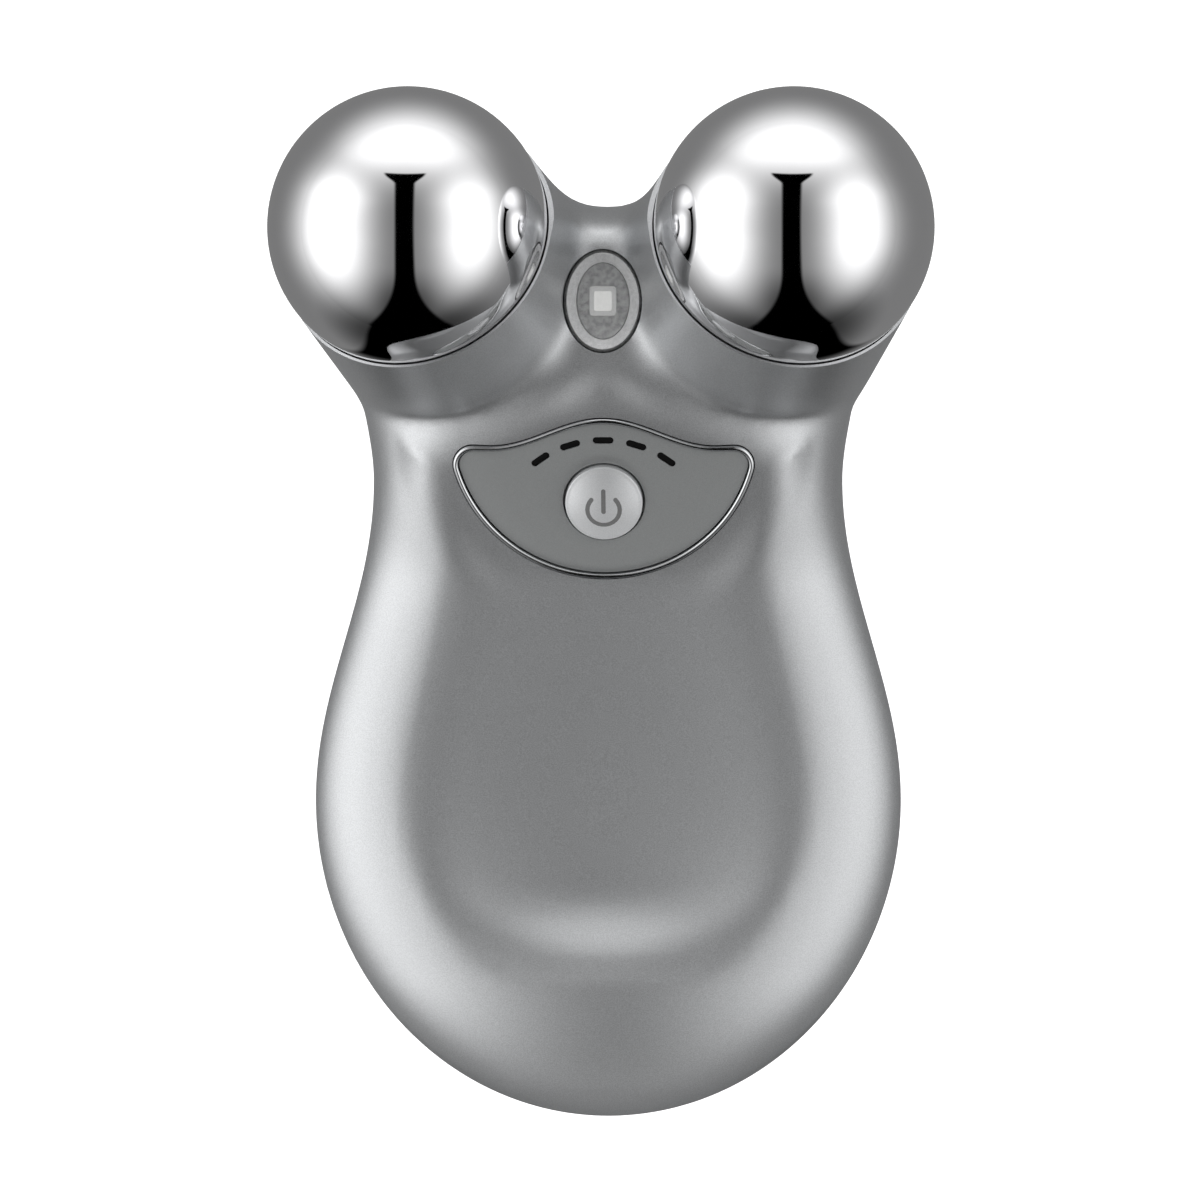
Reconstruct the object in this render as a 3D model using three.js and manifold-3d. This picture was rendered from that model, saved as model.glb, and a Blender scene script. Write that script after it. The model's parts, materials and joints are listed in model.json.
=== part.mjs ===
import * as THREE from 'three';
import { mergeVertices } from 'three/addons/utils/BufferGeometryUtils.js';
import Module from 'manifold-3d';

// A facial toning device lying on its back. Millimetres, +Z out of the front face, +Y towards
// the spheres. The origin is on the surface that it lies on, under the middle of its outline.

const wasm = await Module();
wasm.setup();

// Clearances and walls
const GAP = 0.3; // between neighbours that touch
const RUNNING_GAP = 0.25; // round the button and its plunger
const SLOT_GAP = 0.15; // round the light guide's bars
const WALL = 2.0;
const THIN_WALL = 1.0;

// Body, from its lower end to the bridge between the collars
const HALF_LENGTH = 54.1; // from the middle to the lower end, and to the top of the spheres
const BULB_Y = -20.9; // where the body is widest
const BULB_HALF_WIDTH = 30.75;
const WAIST_Y = 12.7;
const WAIST_HALF_WIDTH = 24.6;
const HEAD_Y = 26;
const HEAD_HALF_WIDTH = 26.3;
const BRIDGE_PAST_SPHERES = 1.9; // from the spheres' centres to the end of the bridge
const BRIDGE_ROUNDING = 17.5; // length over which the head's outline closes
const BRIDGE_DROP = 8; // length over which the bridge's front curves down
const BRIDGE_EAR = 3.2; // how far the bridge's edge climbs towards each collar
const BRIDGE_EAR_X = 8;
const BRIDGE_LIFT = 2.6; // how far the bridge's front swells towards each collar
const PARTING_Z = 13; // plane in which the two covers meet
const LOW_Z = 20.6; // front of the body above the dish, before the dish is scooped out
const CREST_Z = 23; // front of the body at its lower crest
const BRIDGE_Z = 26.2;
const CREST_Y = -38;
const NECK_RISE_START_Y = -4;
const NECK_RISE_END_Y = 23;
const CREST_DROP = 14.5; // length over which the crest curves down to the lower end
const BACK_DEPTH = 13.4; // depth of the rear cover below the parting plane, before its flat
const BACK_RISE = 4.5; // how much shallower it is behind the bridge
const BACK_RISE_START_Y = 5;
const BACK_DROP = 20.2; // length over which the back curves up to the lower end
const SECTION_POWER = 2.5; // superellipse of the cross-sections
const SHOULDER_POWER = 3.2; // the same in front, beside and above the panel
const SHOULDER_START_Y = -5;
const SHOULDER_END_Y = 12;
const HEAD_POWER = 2.6;
const END_POWER = 2.2;
const DISH_Y = -20; // where the dish is widest
const DISH_HALF_WIDTH = 20.2;
const DISH_NECK_HALF_WIDTH = 14.6; // between the panel's tips, where its sides end
const DISH_NECKING = 18; // how gradually it narrows towards them
const DISH_LOW_LENGTH = 18.9; // from its widest line to its lower end
const DISH_POWER = 2.4; // superellipse of its lower end
const DISH_Z = 19.5; // the lowest point of its floor
const DISH_FLOOR_RADIUS = 420;
const DISH_WALL = 3.4; // height over which its edge would rise
const DISH_SIDE_EDGE = 0.93; // share of the half width where the edge starts to rise
const DISH_LOW_EDGE = 0.72; // the same at the lower end, where it rises gently
const TONGUE_HEIGHT = 1.4; // lap joint between the covers
const TONGUE_THICKNESS = 0.8;

// Spheres and their collars
const SPHERE_RADIUS = 14.7;
const SPHERE_WALL = 1.2;
const SPHERE_X = 20.2;
const SPHERE_Y = HALF_LENGTH - SPHERE_RADIUS;
const SPHERE_Z = 30.6;
const BRIDGE_END_Y = SPHERE_Y + BRIDGE_PAST_SPHERES;
const COLLAR_TILT = 32; // degrees from the front direction
const COLLAR_HEADING = 58; // degrees from +X to the way the collar leans, seen from the front
const LIP_DEPTH = 3.4; // from the sphere's centre back to the rim
const LIP_RADIUS = 14.95;
const LIP_HEIGHT = 0.8;
const LIP_FLARE = [1.2, 7.2]; // how far below the lip the collar has most, then little, of its flare
const COLLAR_RADIUS = 13.9;
const COLLAR_DOME_START = 16; // from the sphere's centre back to where the collar rounds off
const COLLAR_LENGTH = 27;
const SEAT_WALL = 2.6;
const SEAL_ANGLE = 48; // degrees from the collar's axis
const SEAL_THICKNESS = 1.4;
const SPHERE_BOSS_RADIUS = 3.6;
const SPHERE_BOSS_LENGTH = 8.5;
const SPHERE_SCREW_RADIUS = 1.5;
const SPHERE_SCREW_HEAD = 2.8;
const TAB_THICKNESS = 0.6;
const TAB_REACH = 5.2;

// Control panel
const PANEL_Y = 10.8;
const PANEL_Z = 23.2;
const PANEL_TILT = 20; // degrees, towards the lower end
const PANEL_HALF_WIDTH = 15.7;
const PANEL_ARC_RADIUS = 16.2;
const PANEL_BELOW = 8.8; // from the panel's middle to the lowest point of its arc
const PANEL_TIP_RADIUS = 2.1;
const PANEL_ABOVE = 8.95; // from the panel's middle to the top of its swelling
const PANEL_SWELL_HALF = 12;
const PAD_MARGIN = 1.0; // flat land of the housing round the bezel
const BEZEL_WIDTH = 0.8;
const BEZEL_RISE = 0.25;
const PLATE_THICKNESS = 1.2;
const PLATE_RECESS = 0.2;
const FLOOR_THICKNESS = 2.0;
const BUTTON_RADIUS = 4.05;
const BUTTON_Y = -0.33;
const BUTTON_RISE = 1.3;
const BUTTON_EDGE_RISE = 0.35;
const BUTTON_TRAVEL = 0.4;
const BUTTON_FLANGE = 0.85; // width of the hidden flange that keeps the button in
const BUTTON_FLANGE_THICKNESS = 0.6;
const STEM_RADIUS = 1.5;
const PLUNGER_RADIUS = 1.2;
const PLUNGER_LENGTH = 1.1;
const SWITCH_SIZE = 4.6;
const SWITCH_HEIGHT = 1.9;
const INDICATORS = 5;
const INDICATOR_RADIUS = 11.16;
const INDICATOR_PITCH = 18.1; // degrees
const INDICATOR_Y = 6.53; // middle bar, from the panel's middle
const INDICATOR_LENGTH = 2.0;
const INDICATOR_WIDTH = 0.56;
const GUIDE_WIDTH = 1.8;
const GUIDE_THICKNESS = 1.1;
const PRONG_RADIUS = 0.6;
const PANEL_BOARD_WIDTH = 24;
const PANEL_BOARD_LENGTH = 13;
const BOARD_THICKNESS = 1.0;

// Lamp window in the bridge
const LAMP_Y = BRIDGE_END_Y - 9.7;
const LAMP_Z = 26.5;
const LAMP_HALF_WIDTH = 4.05;
const LAMP_HALF_LENGTH = 5.3;
const LENS_THICKNESS = 3.0;
const LENS_SKIN = 1.0;
const LENS_INNER_HALF_WIDTH = 2.9;
const LENS_INNER_HALF_LENGTH = 3.75;
const CHIP_WIDTH = 2.8;
const CHIP_LENGTH = 3.1;
const CHIP_HEIGHT = 0.9;

// Electronics and fasteners in the body
const BOARD_Z = 12.2; // underside of the main board
const BOARD_HALF_WIDTH = 14;
const BOARD_CORNER = 5;
const BOARD_LOW_Y = 8.1 - HALF_LENGTH;
const BOARD_HIGH_Y = 17;
const POST_RADIUS = 1.9;
const POST_X = 12;
const POSTS_Y = [-37, 2];
const CELL_WIDTH = 20;
const CELL_LENGTH = 32;
const CELL_THICKNESS = 7.2;
const CELL_Y = -18;
const CELL_PAD = 0.8;
const CELL_PAD_Z = 2.4;
const CONNECTOR = { width: 7, length: 5, height: 3, step: 4 }; // step: from the cell to it
const CONTROLLER = { size: 7, height: 1, y: -6 };
const INDUCTOR = { radius: 3.2, height: 2.6, x: 6, y: BOARD_LOW_Y + 14 };
const BUZZER = { radius: 5, height: 2.8, mouth: 0.8, x: -5, y: BOARD_LOW_Y + 14 };
const SOCKET_Z = 8.4;
const SOCKET_WIDTH = 8;
const SOCKET_LENGTH = 5;
const SOCKET_NOZZLE_RADIUS = 2.5;
const SOCKET_BORE_RADIUS = 1.75;
const SOCKET_PIN_RADIUS = 0.5;
const SOCKET_SINK = 3.4; // from the lower end of the body to the nozzle's mouth
const SOCKET_NOZZLE_LENGTH = 4.2;
const SOCKET_BODY_Y = SOCKET_SINK + SOCKET_NOZZLE_LENGTH - HALF_LENGTH;
const SCREW_RADIUS = 1.25;
const SCREW_HEAD_RADIUS = 2.2;
const SCREW_HEAD_HEIGHT = 1.6;
const SCREW_SEAT_Z = 7.4;
const SCREW_TOP_Z = 17.2;
const SCREW_BOSS_RADIUS = 3.3;
const HOUSING_SCREWS = [[21.5, -28], [17.6, 14]]; // one on each side of the middle
const BOARD_SCREW_RADIUS = 0.8;
const BOARD_HOLE_RADIUS = BOARD_SCREW_RADIUS + GAP;
const BOARD_SCREW_HEAD = 1.5;
const BOARD_SCREW_LENGTH = 4;
const LEAD_RADIUS = 0.5;
const LAMP_LEAD_RADIUS = 0.4;
const SPHERE_LEAD_X = 8.5; // where the leads end on the board
const LAMP_LEAD_X = 5;
const LAMP_LEAD_DROP = 3;
const RIBBON_WIDTH = 6;
const RIBBON_THICKNESS = 0.3;

const DEGREE = Math.PI / 180;
const SIDES = { left: -1, right: 1 };

// Colours and finishes
const finish = (color, roughness, metalness, extra = {}) =>
  new THREE.MeshStandardMaterial({ color, roughness, metalness, ...extra });
const FINISHES = {
  silverPaint: finish(0xa9acae, 0.38, 0.75),
  mirrorChrome: finish(0xe8e8e8, 0.03, 1.0),
  trimChrome: finish(0xd6d8d9, 0.12, 1.0),
  satinPanel: finish(0x7d8080, 0.5, 0.35),
  satinButton: finish(0xb9bbbd, 0.35, 0.45),
  darkWindow: finish(0x0a0a0b, 0.25, 0.0),
  clearPlastic: finish(0xe6eaec, 0.05, 0.0, { transparent: true, opacity: 0.35 }),
  chipYellow: finish(0xeceae2, 0.4, 0.0),
  blackRubber: finish(0x161616, 0.8, 0.0),
  steel: finish(0xb8babc, 0.3, 1.0),
  brassPlate: finish(0xc8a558, 0.35, 1.0),
  boardGreen: finish(0x1f6b45, 0.5, 0.1),
  blackPlastic: finish(0x1b1c1e, 0.5, 0.0),
  cellFoil: finish(0x3d6fa8, 0.45, 0.2),
  foam: finish(0x8d8f92, 0.95, 0.0),
  redLead: finish(0xa32a22, 0.5, 0.0),
  whitePlastic: finish(0xe3e2dd, 0.5, 0.0),
};

// Solids

function solidOf(geometry, matrix = new THREE.Matrix4()) {
  const bare = geometry.clone().applyMatrix4(matrix);
  bare.deleteAttribute('normal');
  bare.deleteAttribute('uv');
  const merged = mergeVertices(bare, 1e-4);
  const corners = merged.index.array;
  const triangles = [];
  for (let i = 0; i < corners.length; i += 3) {
    const [a, b, c] = corners.slice(i, i + 3);
    if (a !== b && b !== c && c !== a) triangles.push(a, b, c);
  }
  return new wasm.Manifold(new wasm.Mesh({
    numProp: 3,
    vertProperties: new Float32Array(merged.attributes.position.array),
    triVerts: new Uint32Array(triangles),
  }));
}

function geometryOf(solid) {
  const { vertProperties, triVerts } = solid.getMesh();
  const geometry = new THREE.BufferGeometry();
  geometry.setAttribute('position', new THREE.BufferAttribute(new Float32Array(vertProperties), 3));
  geometry.setIndex(new THREE.BufferAttribute(new Uint32Array(triVerts), 1));
  geometry.computeVertexNormals();
  return geometry;
}

const joined = (...solids) => solids.flat().reduce((whole, solid) => whole.add(solid));

function cut(solid, ...tools) {
  return tools.flat().reduce((left, tool) => left.subtract(tool), solid);
}

function box(x0, x1, y0, y1, z0, z1) {
  const geometry = new THREE.BoxGeometry(x1 - x0, y1 - y0, z1 - z0);
  return geometry.translate((x0 + x1) / 2, (y0 + y1) / 2, (z0 + z1) / 2);
}

function rod(radius, z0, z1, x = 0, y = 0, sides = 12) {
  const geometry = new THREE.CylinderGeometry(radius, radius, z1 - z0, sides);
  return geometry.rotateX(Math.PI / 2).translate(x, y, (z0 + z1) / 2);
}

// A profile of [radius, height] points turned round +Z. It starts and ends on the axis, or
// comes back to its first point.
function turned(profile, sides = 20) {
  const points = profile.map(([radius, height]) => new THREE.Vector2(radius, height));
  if (profile[0][0] > 0) points.push(points[0].clone());
  if (THREE.ShapeUtils.area(points) < 0) points.reverse();
  return new THREE.LatheGeometry(points, sides).rotateX(Math.PI / 2);
}

function arc(centreX, centreY, radius, fromDegrees, toDegrees, steps) {
  return Array.from({ length: steps + 1 }, (_, i) => {
    const angle = (fromDegrees + ((toDegrees - fromDegrees) * i) / steps) * DEGREE;
    return [centreX + radius * Math.cos(angle), centreY + radius * Math.sin(angle)];
  });
}

const shapeOf = (points) => new THREE.Shape(points.map(([x, y]) => new THREE.Vector2(x, y)));

function raised(points, z0, z1) {
  const options = { depth: z1 - z0, bevelEnabled: false };
  return new THREE.ExtrudeGeometry(shapeOf(points), options).translate(0, 0, z0);
}

function oval(halfWidth, halfLength, steps = 22) {
  const circle = arc(0, 0, 1, 0, 360 - 360 / steps, steps - 1);
  return circle.map(([x, y]) => [x * halfWidth, y * halfLength]);
}

function roundedBox(width, length, radius, x = 0, y = 0) {
  const [w, l] = [width / 2 - radius, length / 2 - radius];
  const corners = [[w, l, 0], [-w, l, 90], [-w, -l, 180], [w, -l, 270]];
  return corners.flatMap(([cx, cy, start]) => arc(x + cx, y + cy, radius, start, start + 90, 2));
}

function lead(points, radius = LEAD_RADIUS) {
  const path = new THREE.CatmullRomCurve3(points.map((point) => new THREE.Vector3(...point)));
  const section = shapeOf(arc(0, 0, radius, 0, 300, 5));
  return new THREE.ExtrudeGeometry(section, { steps: 10, extrudePath: path });
}

const assembly = new THREE.Group();

function place(parent, name, material, solid) {
  const mesh = new THREE.Mesh(geometryOf(solid), FINISHES[material]);
  mesh.name = name;
  parent.add(mesh);
}

// Body shape: cross-sections along Y, each a superellipse with its own front and back height

const { smoothstep } = THREE.MathUtils;

function closing(distance, reach, power) {
  if (distance <= 0) return 1;
  return Math.max(0, 1 - (distance / reach) ** power) ** (1 / power);
}

function halfWidth(y, inset) {
  const swing = (1 + Math.cos((Math.PI * (y - BULB_Y)) / (WAIST_Y - BULB_Y))) / 2;
  const bulb = y < BULB_Y ? 1 : y < WAIST_Y ? swing : 0;
  const head = (HEAD_HALF_WIDTH - WAIST_HALF_WIDTH) * smoothstep(y, WAIST_Y, HEAD_Y);
  const width = WAIST_HALF_WIDTH + (BULB_HALF_WIDTH - WAIST_HALF_WIDTH) * bulb + head - inset;
  const lowEnd = closing(BULB_Y - y, BULB_Y + HALF_LENGTH - inset, 2);
  const rounding = BRIDGE_ROUNDING - inset;
  return width * lowEnd * closing(y - BRIDGE_END_Y + BRIDGE_ROUNDING, rounding, HEAD_POWER);
}

function frontHeight(y, inset) {
  const crest = (CREST_Z - LOW_Z) * smoothstep(-y, 2, -CREST_Y);
  const neck = (BRIDGE_Z - LOW_Z) * smoothstep(y, NECK_RISE_START_Y, NECK_RISE_END_Y);
  const lowEnd = closing(CREST_DROP - HALF_LENGTH - y, CREST_DROP - inset, END_POWER);
  const bridgeEnd = closing(y - BRIDGE_END_Y + BRIDGE_DROP, BRIDGE_DROP - inset, END_POWER);
  return (LOW_Z - PARTING_Z + crest + neck - inset) * lowEnd * bridgeEnd;
}

function backHeight(y, inset) {
  const rise = BACK_RISE * smoothstep(y, BACK_RISE_START_Y, BRIDGE_END_Y - inset);
  const lowEnd = closing(BACK_DROP - HALF_LENGTH - y, BACK_DROP - inset, 2);
  const bridgeEnd = closing(y - BRIDGE_END_Y + BRIDGE_DROP, BRIDGE_DROP - inset, END_POWER);
  return (BACK_DEPTH - rise - inset) * lowEnd * bridgeEnd;
}

// Height of the scooped dish: a shallow ball that turns into the panel's plane, with an edge
// that rises out of the body all round a teardrop outline
function dish(x, y) {
  const along = y - DISH_Y;
  const necking = along < 0 ? 1 : Math.exp(-((along / DISH_NECKING) ** 2));
  const half = DISH_NECK_HALF_WIDTH + (DISH_HALF_WIDTH - DISH_NECK_HALF_WIDTH) * necking;
  const low = Math.max(0, -along) / DISH_LOW_LENGTH;
  const spread = ((Math.abs(x) / half) ** DISH_POWER + low ** DISH_POWER) ** (1 / DISH_POWER);
  if (spread >= 1) return Infinity;
  const edgeStart = DISH_SIDE_EDGE + (DISH_LOW_EDGE - DISH_SIDE_EDGE) * smoothstep(low, 0.2, 0.85);
  const floor = DISH_Z + (x ** 2 + along ** 2) / (2 * DISH_FLOOR_RADIUS);
  const panelPlane = PANEL_Z + (y - PANEL_Y) * Math.tan(PANEL_TILT * DEGREE);
  return Math.max(floor, panelPlane) + DISH_WALL * smoothstep(spread, edgeStart, 1);
}

function frontPower(y) {
  const share = smoothstep(y, SHOULDER_START_Y, SHOULDER_END_Y);
  return SECTION_POWER + (SHOULDER_POWER - SECTION_POWER) * share;
}

// Share of the bridge's climb towards the collars, from none in the middle to all at each ear
function bridgeClimb(x, y) {
  const across = (1 - Math.cos(Math.PI * Math.min(1, Math.abs(x) / BRIDGE_EAR_X))) / 2;
  return across * smoothstep(y, BRIDGE_END_Y - BRIDGE_ROUNDING, BRIDGE_END_Y);
}

// The closed skin of the body, drawn in by inset on all sides
function bodySkin(inset, stations, around) {
  const [low, high] = [inset - HALF_LENGTH, BRIDGE_END_Y - inset];
  const positions = [0, low, PARTING_Z];
  for (let i = 1; i < stations; i += 1) {
    const y = (low + high) / 2 - ((high - low) / 2) * Math.cos((Math.PI * i) / stations);
    const [width, front, back] = [halfWidth(y, inset), frontHeight(y, inset), backHeight(y, inset)];
    for (let j = 0; j < around; j += 1) {
      const angle = (2 * Math.PI * j) / around;
      const inFront = Math.sin(angle) >= 0;
      const power = inFront ? frontPower(y) : SECTION_POWER;
      const across = Math.abs(Math.cos(angle)) ** (2 / power) * Math.sign(Math.cos(angle));
      const height = Math.abs(Math.sin(angle)) ** (2 / power);
      const x = width * across;
      const climb = bridgeClimb(x, y);
      const swell = BRIDGE_LIFT * climb * Math.min(1, front / BRIDGE_LIFT);
      const scooped = Math.min((front + swell) * height, dish(x, y) - PARTING_Z - inset);
      positions.push(x, y + BRIDGE_EAR * climb, PARTING_Z + (inFront ? scooped : -back * height));
    }
  }
  positions.push(0, high, PARTING_Z);
  const last = positions.length / 3 - 1;
  const index = [];
  for (let j = 0; j < around; j += 1) {
    const next = (j + 1) % around;
    index.push(0, 1 + j, 1 + next);
    for (let i = 0; i < stations - 2; i += 1) {
      const [a, b] = [1 + i * around + j, 1 + i * around + next];
      index.push(a, a + around, b, b, a + around, b + around);
    }
    const ring = 1 + (stations - 2) * around;
    index.push(ring + j, last, ring + next);
  }
  const geometry = new THREE.BufferGeometry();
  geometry.setAttribute('position', new THREE.Float32BufferAttribute(positions, 3));
  geometry.setIndex(index);
  return solidOf(geometry);
}

// Frames: each collar's, with +Z out along its axis from the sphere's centre, and the panel's
// and the lamp's, with +Z out of their front

function collarFrame(side) {
  const lean = Math.sin(COLLAR_TILT * DEGREE);
  const axis = new THREE.Vector3(
    SIDES[side] * lean * Math.cos(COLLAR_HEADING * DEGREE),
    lean * Math.sin(COLLAR_HEADING * DEGREE),
    Math.cos(COLLAR_TILT * DEGREE),
  );
  const group = new THREE.Group();
  group.position.set(SIDES[side] * SPHERE_X, SPHERE_Y, SPHERE_Z);
  group.quaternion.setFromUnitVectors(new THREE.Vector3(0, 0, 1), axis);
  return group;
}

const collars = Object.fromEntries(Object.keys(SIDES).map((side) => [side, collarFrame(side)]));
const panel = new THREE.Group();
panel.position.set(0, PANEL_Y, PANEL_Z);
panel.rotation.x = PANEL_TILT * DEGREE;
const lamp = new THREE.Group();
lamp.position.set(0, LAMP_Y, LAMP_Z);
assembly.add(collars.left, collars.right, panel, lamp);
assembly.updateMatrixWorld(true);

const atCollar = (side, geometry) => solidOf(geometry, collars[side].matrixWorld);
const atPanel = (geometry) => solidOf(geometry, panel.matrixWorld);
const atLamp = (geometry) => solidOf(geometry, lamp.matrixWorld);
const eachCollar = (geometry) => Object.keys(SIDES).map((side) => atCollar(side, geometry));
const mirrored = ([x, y]) => [[x, y], [-x, y]];

// Panel layout, as heights in the panel's frame, from its front down

const PLATE_BOTTOM = -PLATE_RECESS - PLATE_THICKNESS;
const RECESS_BOTTOM = PLATE_BOTTOM - GAP;
const FLOOR_BOTTOM = RECESS_BOTTOM - FLOOR_THICKNESS;
const FLANGE_TOP = PLATE_BOTTOM - GAP;
const FLANGE_BOTTOM = FLANGE_TOP - BUTTON_FLANGE_THICKNESS;
const FLANGE_WELL_BOTTOM = FLANGE_BOTTOM - BUTTON_TRAVEL - GAP;
const PLUNGER_TOP = FLOOR_BOTTOM - GAP;
const STEM_BOTTOM = PLUNGER_TOP + GAP;
const SWITCH_TOP = PLUNGER_TOP - BUTTON_TRAVEL - GAP / 2;
const PLUNGER_BOTTOM = PLUNGER_TOP - PLUNGER_LENGTH;
const SWITCH_BOTTOM = SWITCH_TOP - SWITCH_HEIGHT;
const PANEL_BOARD_TOP = SWITCH_BOTTOM - GAP;
const PANEL_BOARD_BOTTOM = PANEL_BOARD_TOP - BOARD_THICKNESS;
const GUIDE_TOP = PLATE_BOTTOM - GAP;
const GUIDE_BOTTOM = GUIDE_TOP - GUIDE_THICKNESS;
const INDICATOR_LED_HEIGHT = 0.5;
const PRONG_BOTTOM = PANEL_BOARD_TOP + INDICATOR_LED_HEIGHT + 2 * GAP;
const FLANGE_RADIUS = BUTTON_RADIUS + BUTTON_FLANGE;
const PANEL_POST_X = PANEL_BOARD_WIDTH / 2 - POST_RADIUS - THIN_WALL / 2;

function panelOutline(offset) {
  const arcY = PANEL_ARC_RADIUS - PANEL_BELOW;
  const tipX = PANEL_HALF_WIDTH - PANEL_TIP_RADIUS;
  const tipY = arcY - Math.sqrt((PANEL_ARC_RADIUS - PANEL_TIP_RADIUS) ** 2 - tipX ** 2);
  const shoulderY = tipY + PANEL_TIP_RADIUS + offset;
  const turn = Math.atan2(arcY - tipY, tipX) / DEGREE;
  const swelling = Array.from({ length: 9 }, (_, i) => {
    const x = PANEL_SWELL_HALF * (1 - i / 4);
    const rise = (PANEL_ABOVE - shoulderY + offset) * (1 + Math.cos((Math.PI * x) / PANEL_SWELL_HALF));
    return [x, shoulderY + rise / 2];
  });
  return [
    ...arc(tipX, tipY, PANEL_TIP_RADIUS + offset, -turn, 90, 3),
    ...swelling,
    ...arc(-tipX, tipY, PANEL_TIP_RADIUS + offset, 90, 180 + turn, 3),
    ...arc(0, arcY, PANEL_ARC_RADIUS + offset, 180 + turn, 360 - turn, 14).slice(1, -1),
  ];
}

const INDICATOR_CENTRE_Y = INDICATOR_Y - INDICATOR_RADIUS;

function atIndicator(i, geometry) {
  const angle = (i - (INDICATORS - 1) / 2) * INDICATOR_PITCH * DEGREE;
  const copy = geometry.clone().translate(0, INDICATOR_RADIUS, 0).rotateZ(-angle);
  return copy.translate(0, INDICATOR_CENTRE_Y, 0);
}

function allIndicators(geometry) {
  return Array.from({ length: INDICATORS }, (_, i) => solidOf(atIndicator(i, geometry)));
}

const indicatorBar = (gap, z0, z1) => {
  const [length, width] = [INDICATOR_LENGTH + 2 * gap, INDICATOR_WIDTH + 2 * gap];
  return raised(roundedBox(length, width, width / 2 - 0.001), z0, z1);
};

function guideBase(gap, z0, z1) {
  const endBar = (INDICATOR_LENGTH / 2 + INDICATOR_WIDTH / 2 + gap) / INDICATOR_RADIUS / DEGREE;
  const half = ((INDICATORS - 1) / 2) * INDICATOR_PITCH + endBar;
  const [out, inside] = [1, -1].map((s) => INDICATOR_RADIUS + s * (GUIDE_WIDTH / 2 + gap));
  const outer = arc(0, INDICATOR_CENTRE_Y, out, 90 - half, 90 + half, 6);
  const inner = arc(0, INDICATOR_CENTRE_Y, inside, 90 + half, 90 - half, 6);
  return raised([...outer, ...inner], z0, z1);
}

// Collars: a lip at the rim, a slight taper, then a domed back. The seat inside is a cup that
// follows the sphere.

function collarBlock(inset, sides = 24) {
  const [radius, length] = [COLLAR_RADIUS - inset, COLLAR_LENGTH - inset];
  const dome = arc(0, 0, 1, -90, 0, 3).map(([across, along]) => [
    radius * across,
    -COLLAR_DOME_START + (length - COLLAR_DOME_START) * along,
  ]);
  dome[0][0] = 0;
  const lipRadius = LIP_RADIUS - inset;
  const lipBottom = -LIP_DEPTH - LIP_HEIGHT;
  return turned([
    ...dome,
    [radius + (lipRadius - radius) * 0.15, lipBottom - LIP_FLARE[1]],
    [radius + (lipRadius - radius) * 0.6, lipBottom - LIP_FLARE[0]],
    [lipRadius, lipBottom],
    [lipRadius, -LIP_DEPTH],
    [0, -LIP_DEPTH],
  ], sides);
}

function ball(radius, rings = 10, sides = 20) {
  const profile = arc(0, 0, radius, -90, 90, rings);
  return turned(profile.map(([x, y], i) => [i % rings === 0 ? 0 : x, y]), sides);
}

const SEAT_RADIUS = SPHERE_RADIUS + GAP;
const SEAT_BACK = SEAT_RADIUS + SEAT_WALL;
const SCREW_HOLE_RADIUS = SPHERE_SCREW_RADIUS + GAP;

// A ring round the collar's axis that just clears the sphere: the seal, or with fewer corners
// the channel that holds it
function seal(radius, corners, sides) {
  const middle = SPHERE_RADIUS + GAP + SEAL_THICKNESS / 2;
  const [across, down] = [Math.sin(SEAL_ANGLE * DEGREE), Math.cos(SEAL_ANGLE * DEGREE)];
  const step = 360 / corners;
  const first = SEAL_ANGLE - 90 + step / 2;
  const last = first + 360 - step;
  return turned(arc(middle * across, -middle * down, radius, first, last, corners - 1), sides);
}

function sphereShell() {
  const inside = solidOf(ball(SPHERE_RADIUS - SPHERE_WALL, 6, 12));
  const shell = cut(solidOf(ball(SPHERE_RADIUS, 12, 24)), inside);
  const bossTop = -SPHERE_RADIUS + SPHERE_BOSS_LENGTH;
  const boss = solidOf(rod(SPHERE_BOSS_RADIUS, SPHERE_WALL / 2 - SPHERE_RADIUS, bossTop));
  const bore = solidOf(rod(SCREW_HOLE_RADIUS, -SPHERE_RADIUS - 1, bossTop + 1));
  return cut(joined(shell, boss), bore);
}

const TAB_TOP = -SEAT_BACK - GAP;
const TAB_BOTTOM = TAB_TOP - TAB_THICKNESS;
const SCREW_HEAD_TOP = TAB_BOTTOM - GAP;

// Points from the collar's axis towards the middle of the body, in the collar's frame
function inward(side) {
  const world = new THREE.Vector3(-SPHERE_X * SIDES[side], -SPHERE_Y, -SPHERE_Z);
  const turn = collars[side].quaternion.clone().invert();
  const local = world.applyQuaternion(turn);
  return Math.atan2(local.y, local.x);
}

function contactTab(side) {
  const ring = solidOf(rod(SPHERE_SCREW_HEAD + 0.4, TAB_BOTTOM, TAB_TOP));
  const tail = box(0, TAB_REACH, -1, 1, TAB_BOTTOM, TAB_TOP).rotateZ(inward(side));
  return cut(joined(ring, solidOf(tail)), solidOf(rod(SCREW_HOLE_RADIUS, TAB_BOTTOM - 1, TAB_TOP + 1)));
}

function addCollarParts(side) {
  const shankTop = SPHERE_BOSS_LENGTH - SPHERE_RADIUS - THIN_WALL;
  const shank = solidOf(rod(SPHERE_SCREW_RADIUS, SCREW_HEAD_TOP - 0.5, shankTop, 0, 0, 14));
  const head = solidOf(rod(SPHERE_SCREW_HEAD, SCREW_HEAD_TOP - 2, SCREW_HEAD_TOP, 0, 0, 14));
  place(collars[side], `${side}_sphere`, 'mirrorChrome', sphereShell());
  place(collars[side], `${side}_sphere_seal`, 'blackRubber', solidOf(seal(SEAL_THICKNESS / 2, 6, 16)));
  place(collars[side], `${side}_sphere_screw`, 'steel', joined(shank, head));
  place(collars[side], `${side}_contact_tab`, 'brassPlate', contactTab(side));
}

// Control panel

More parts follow.
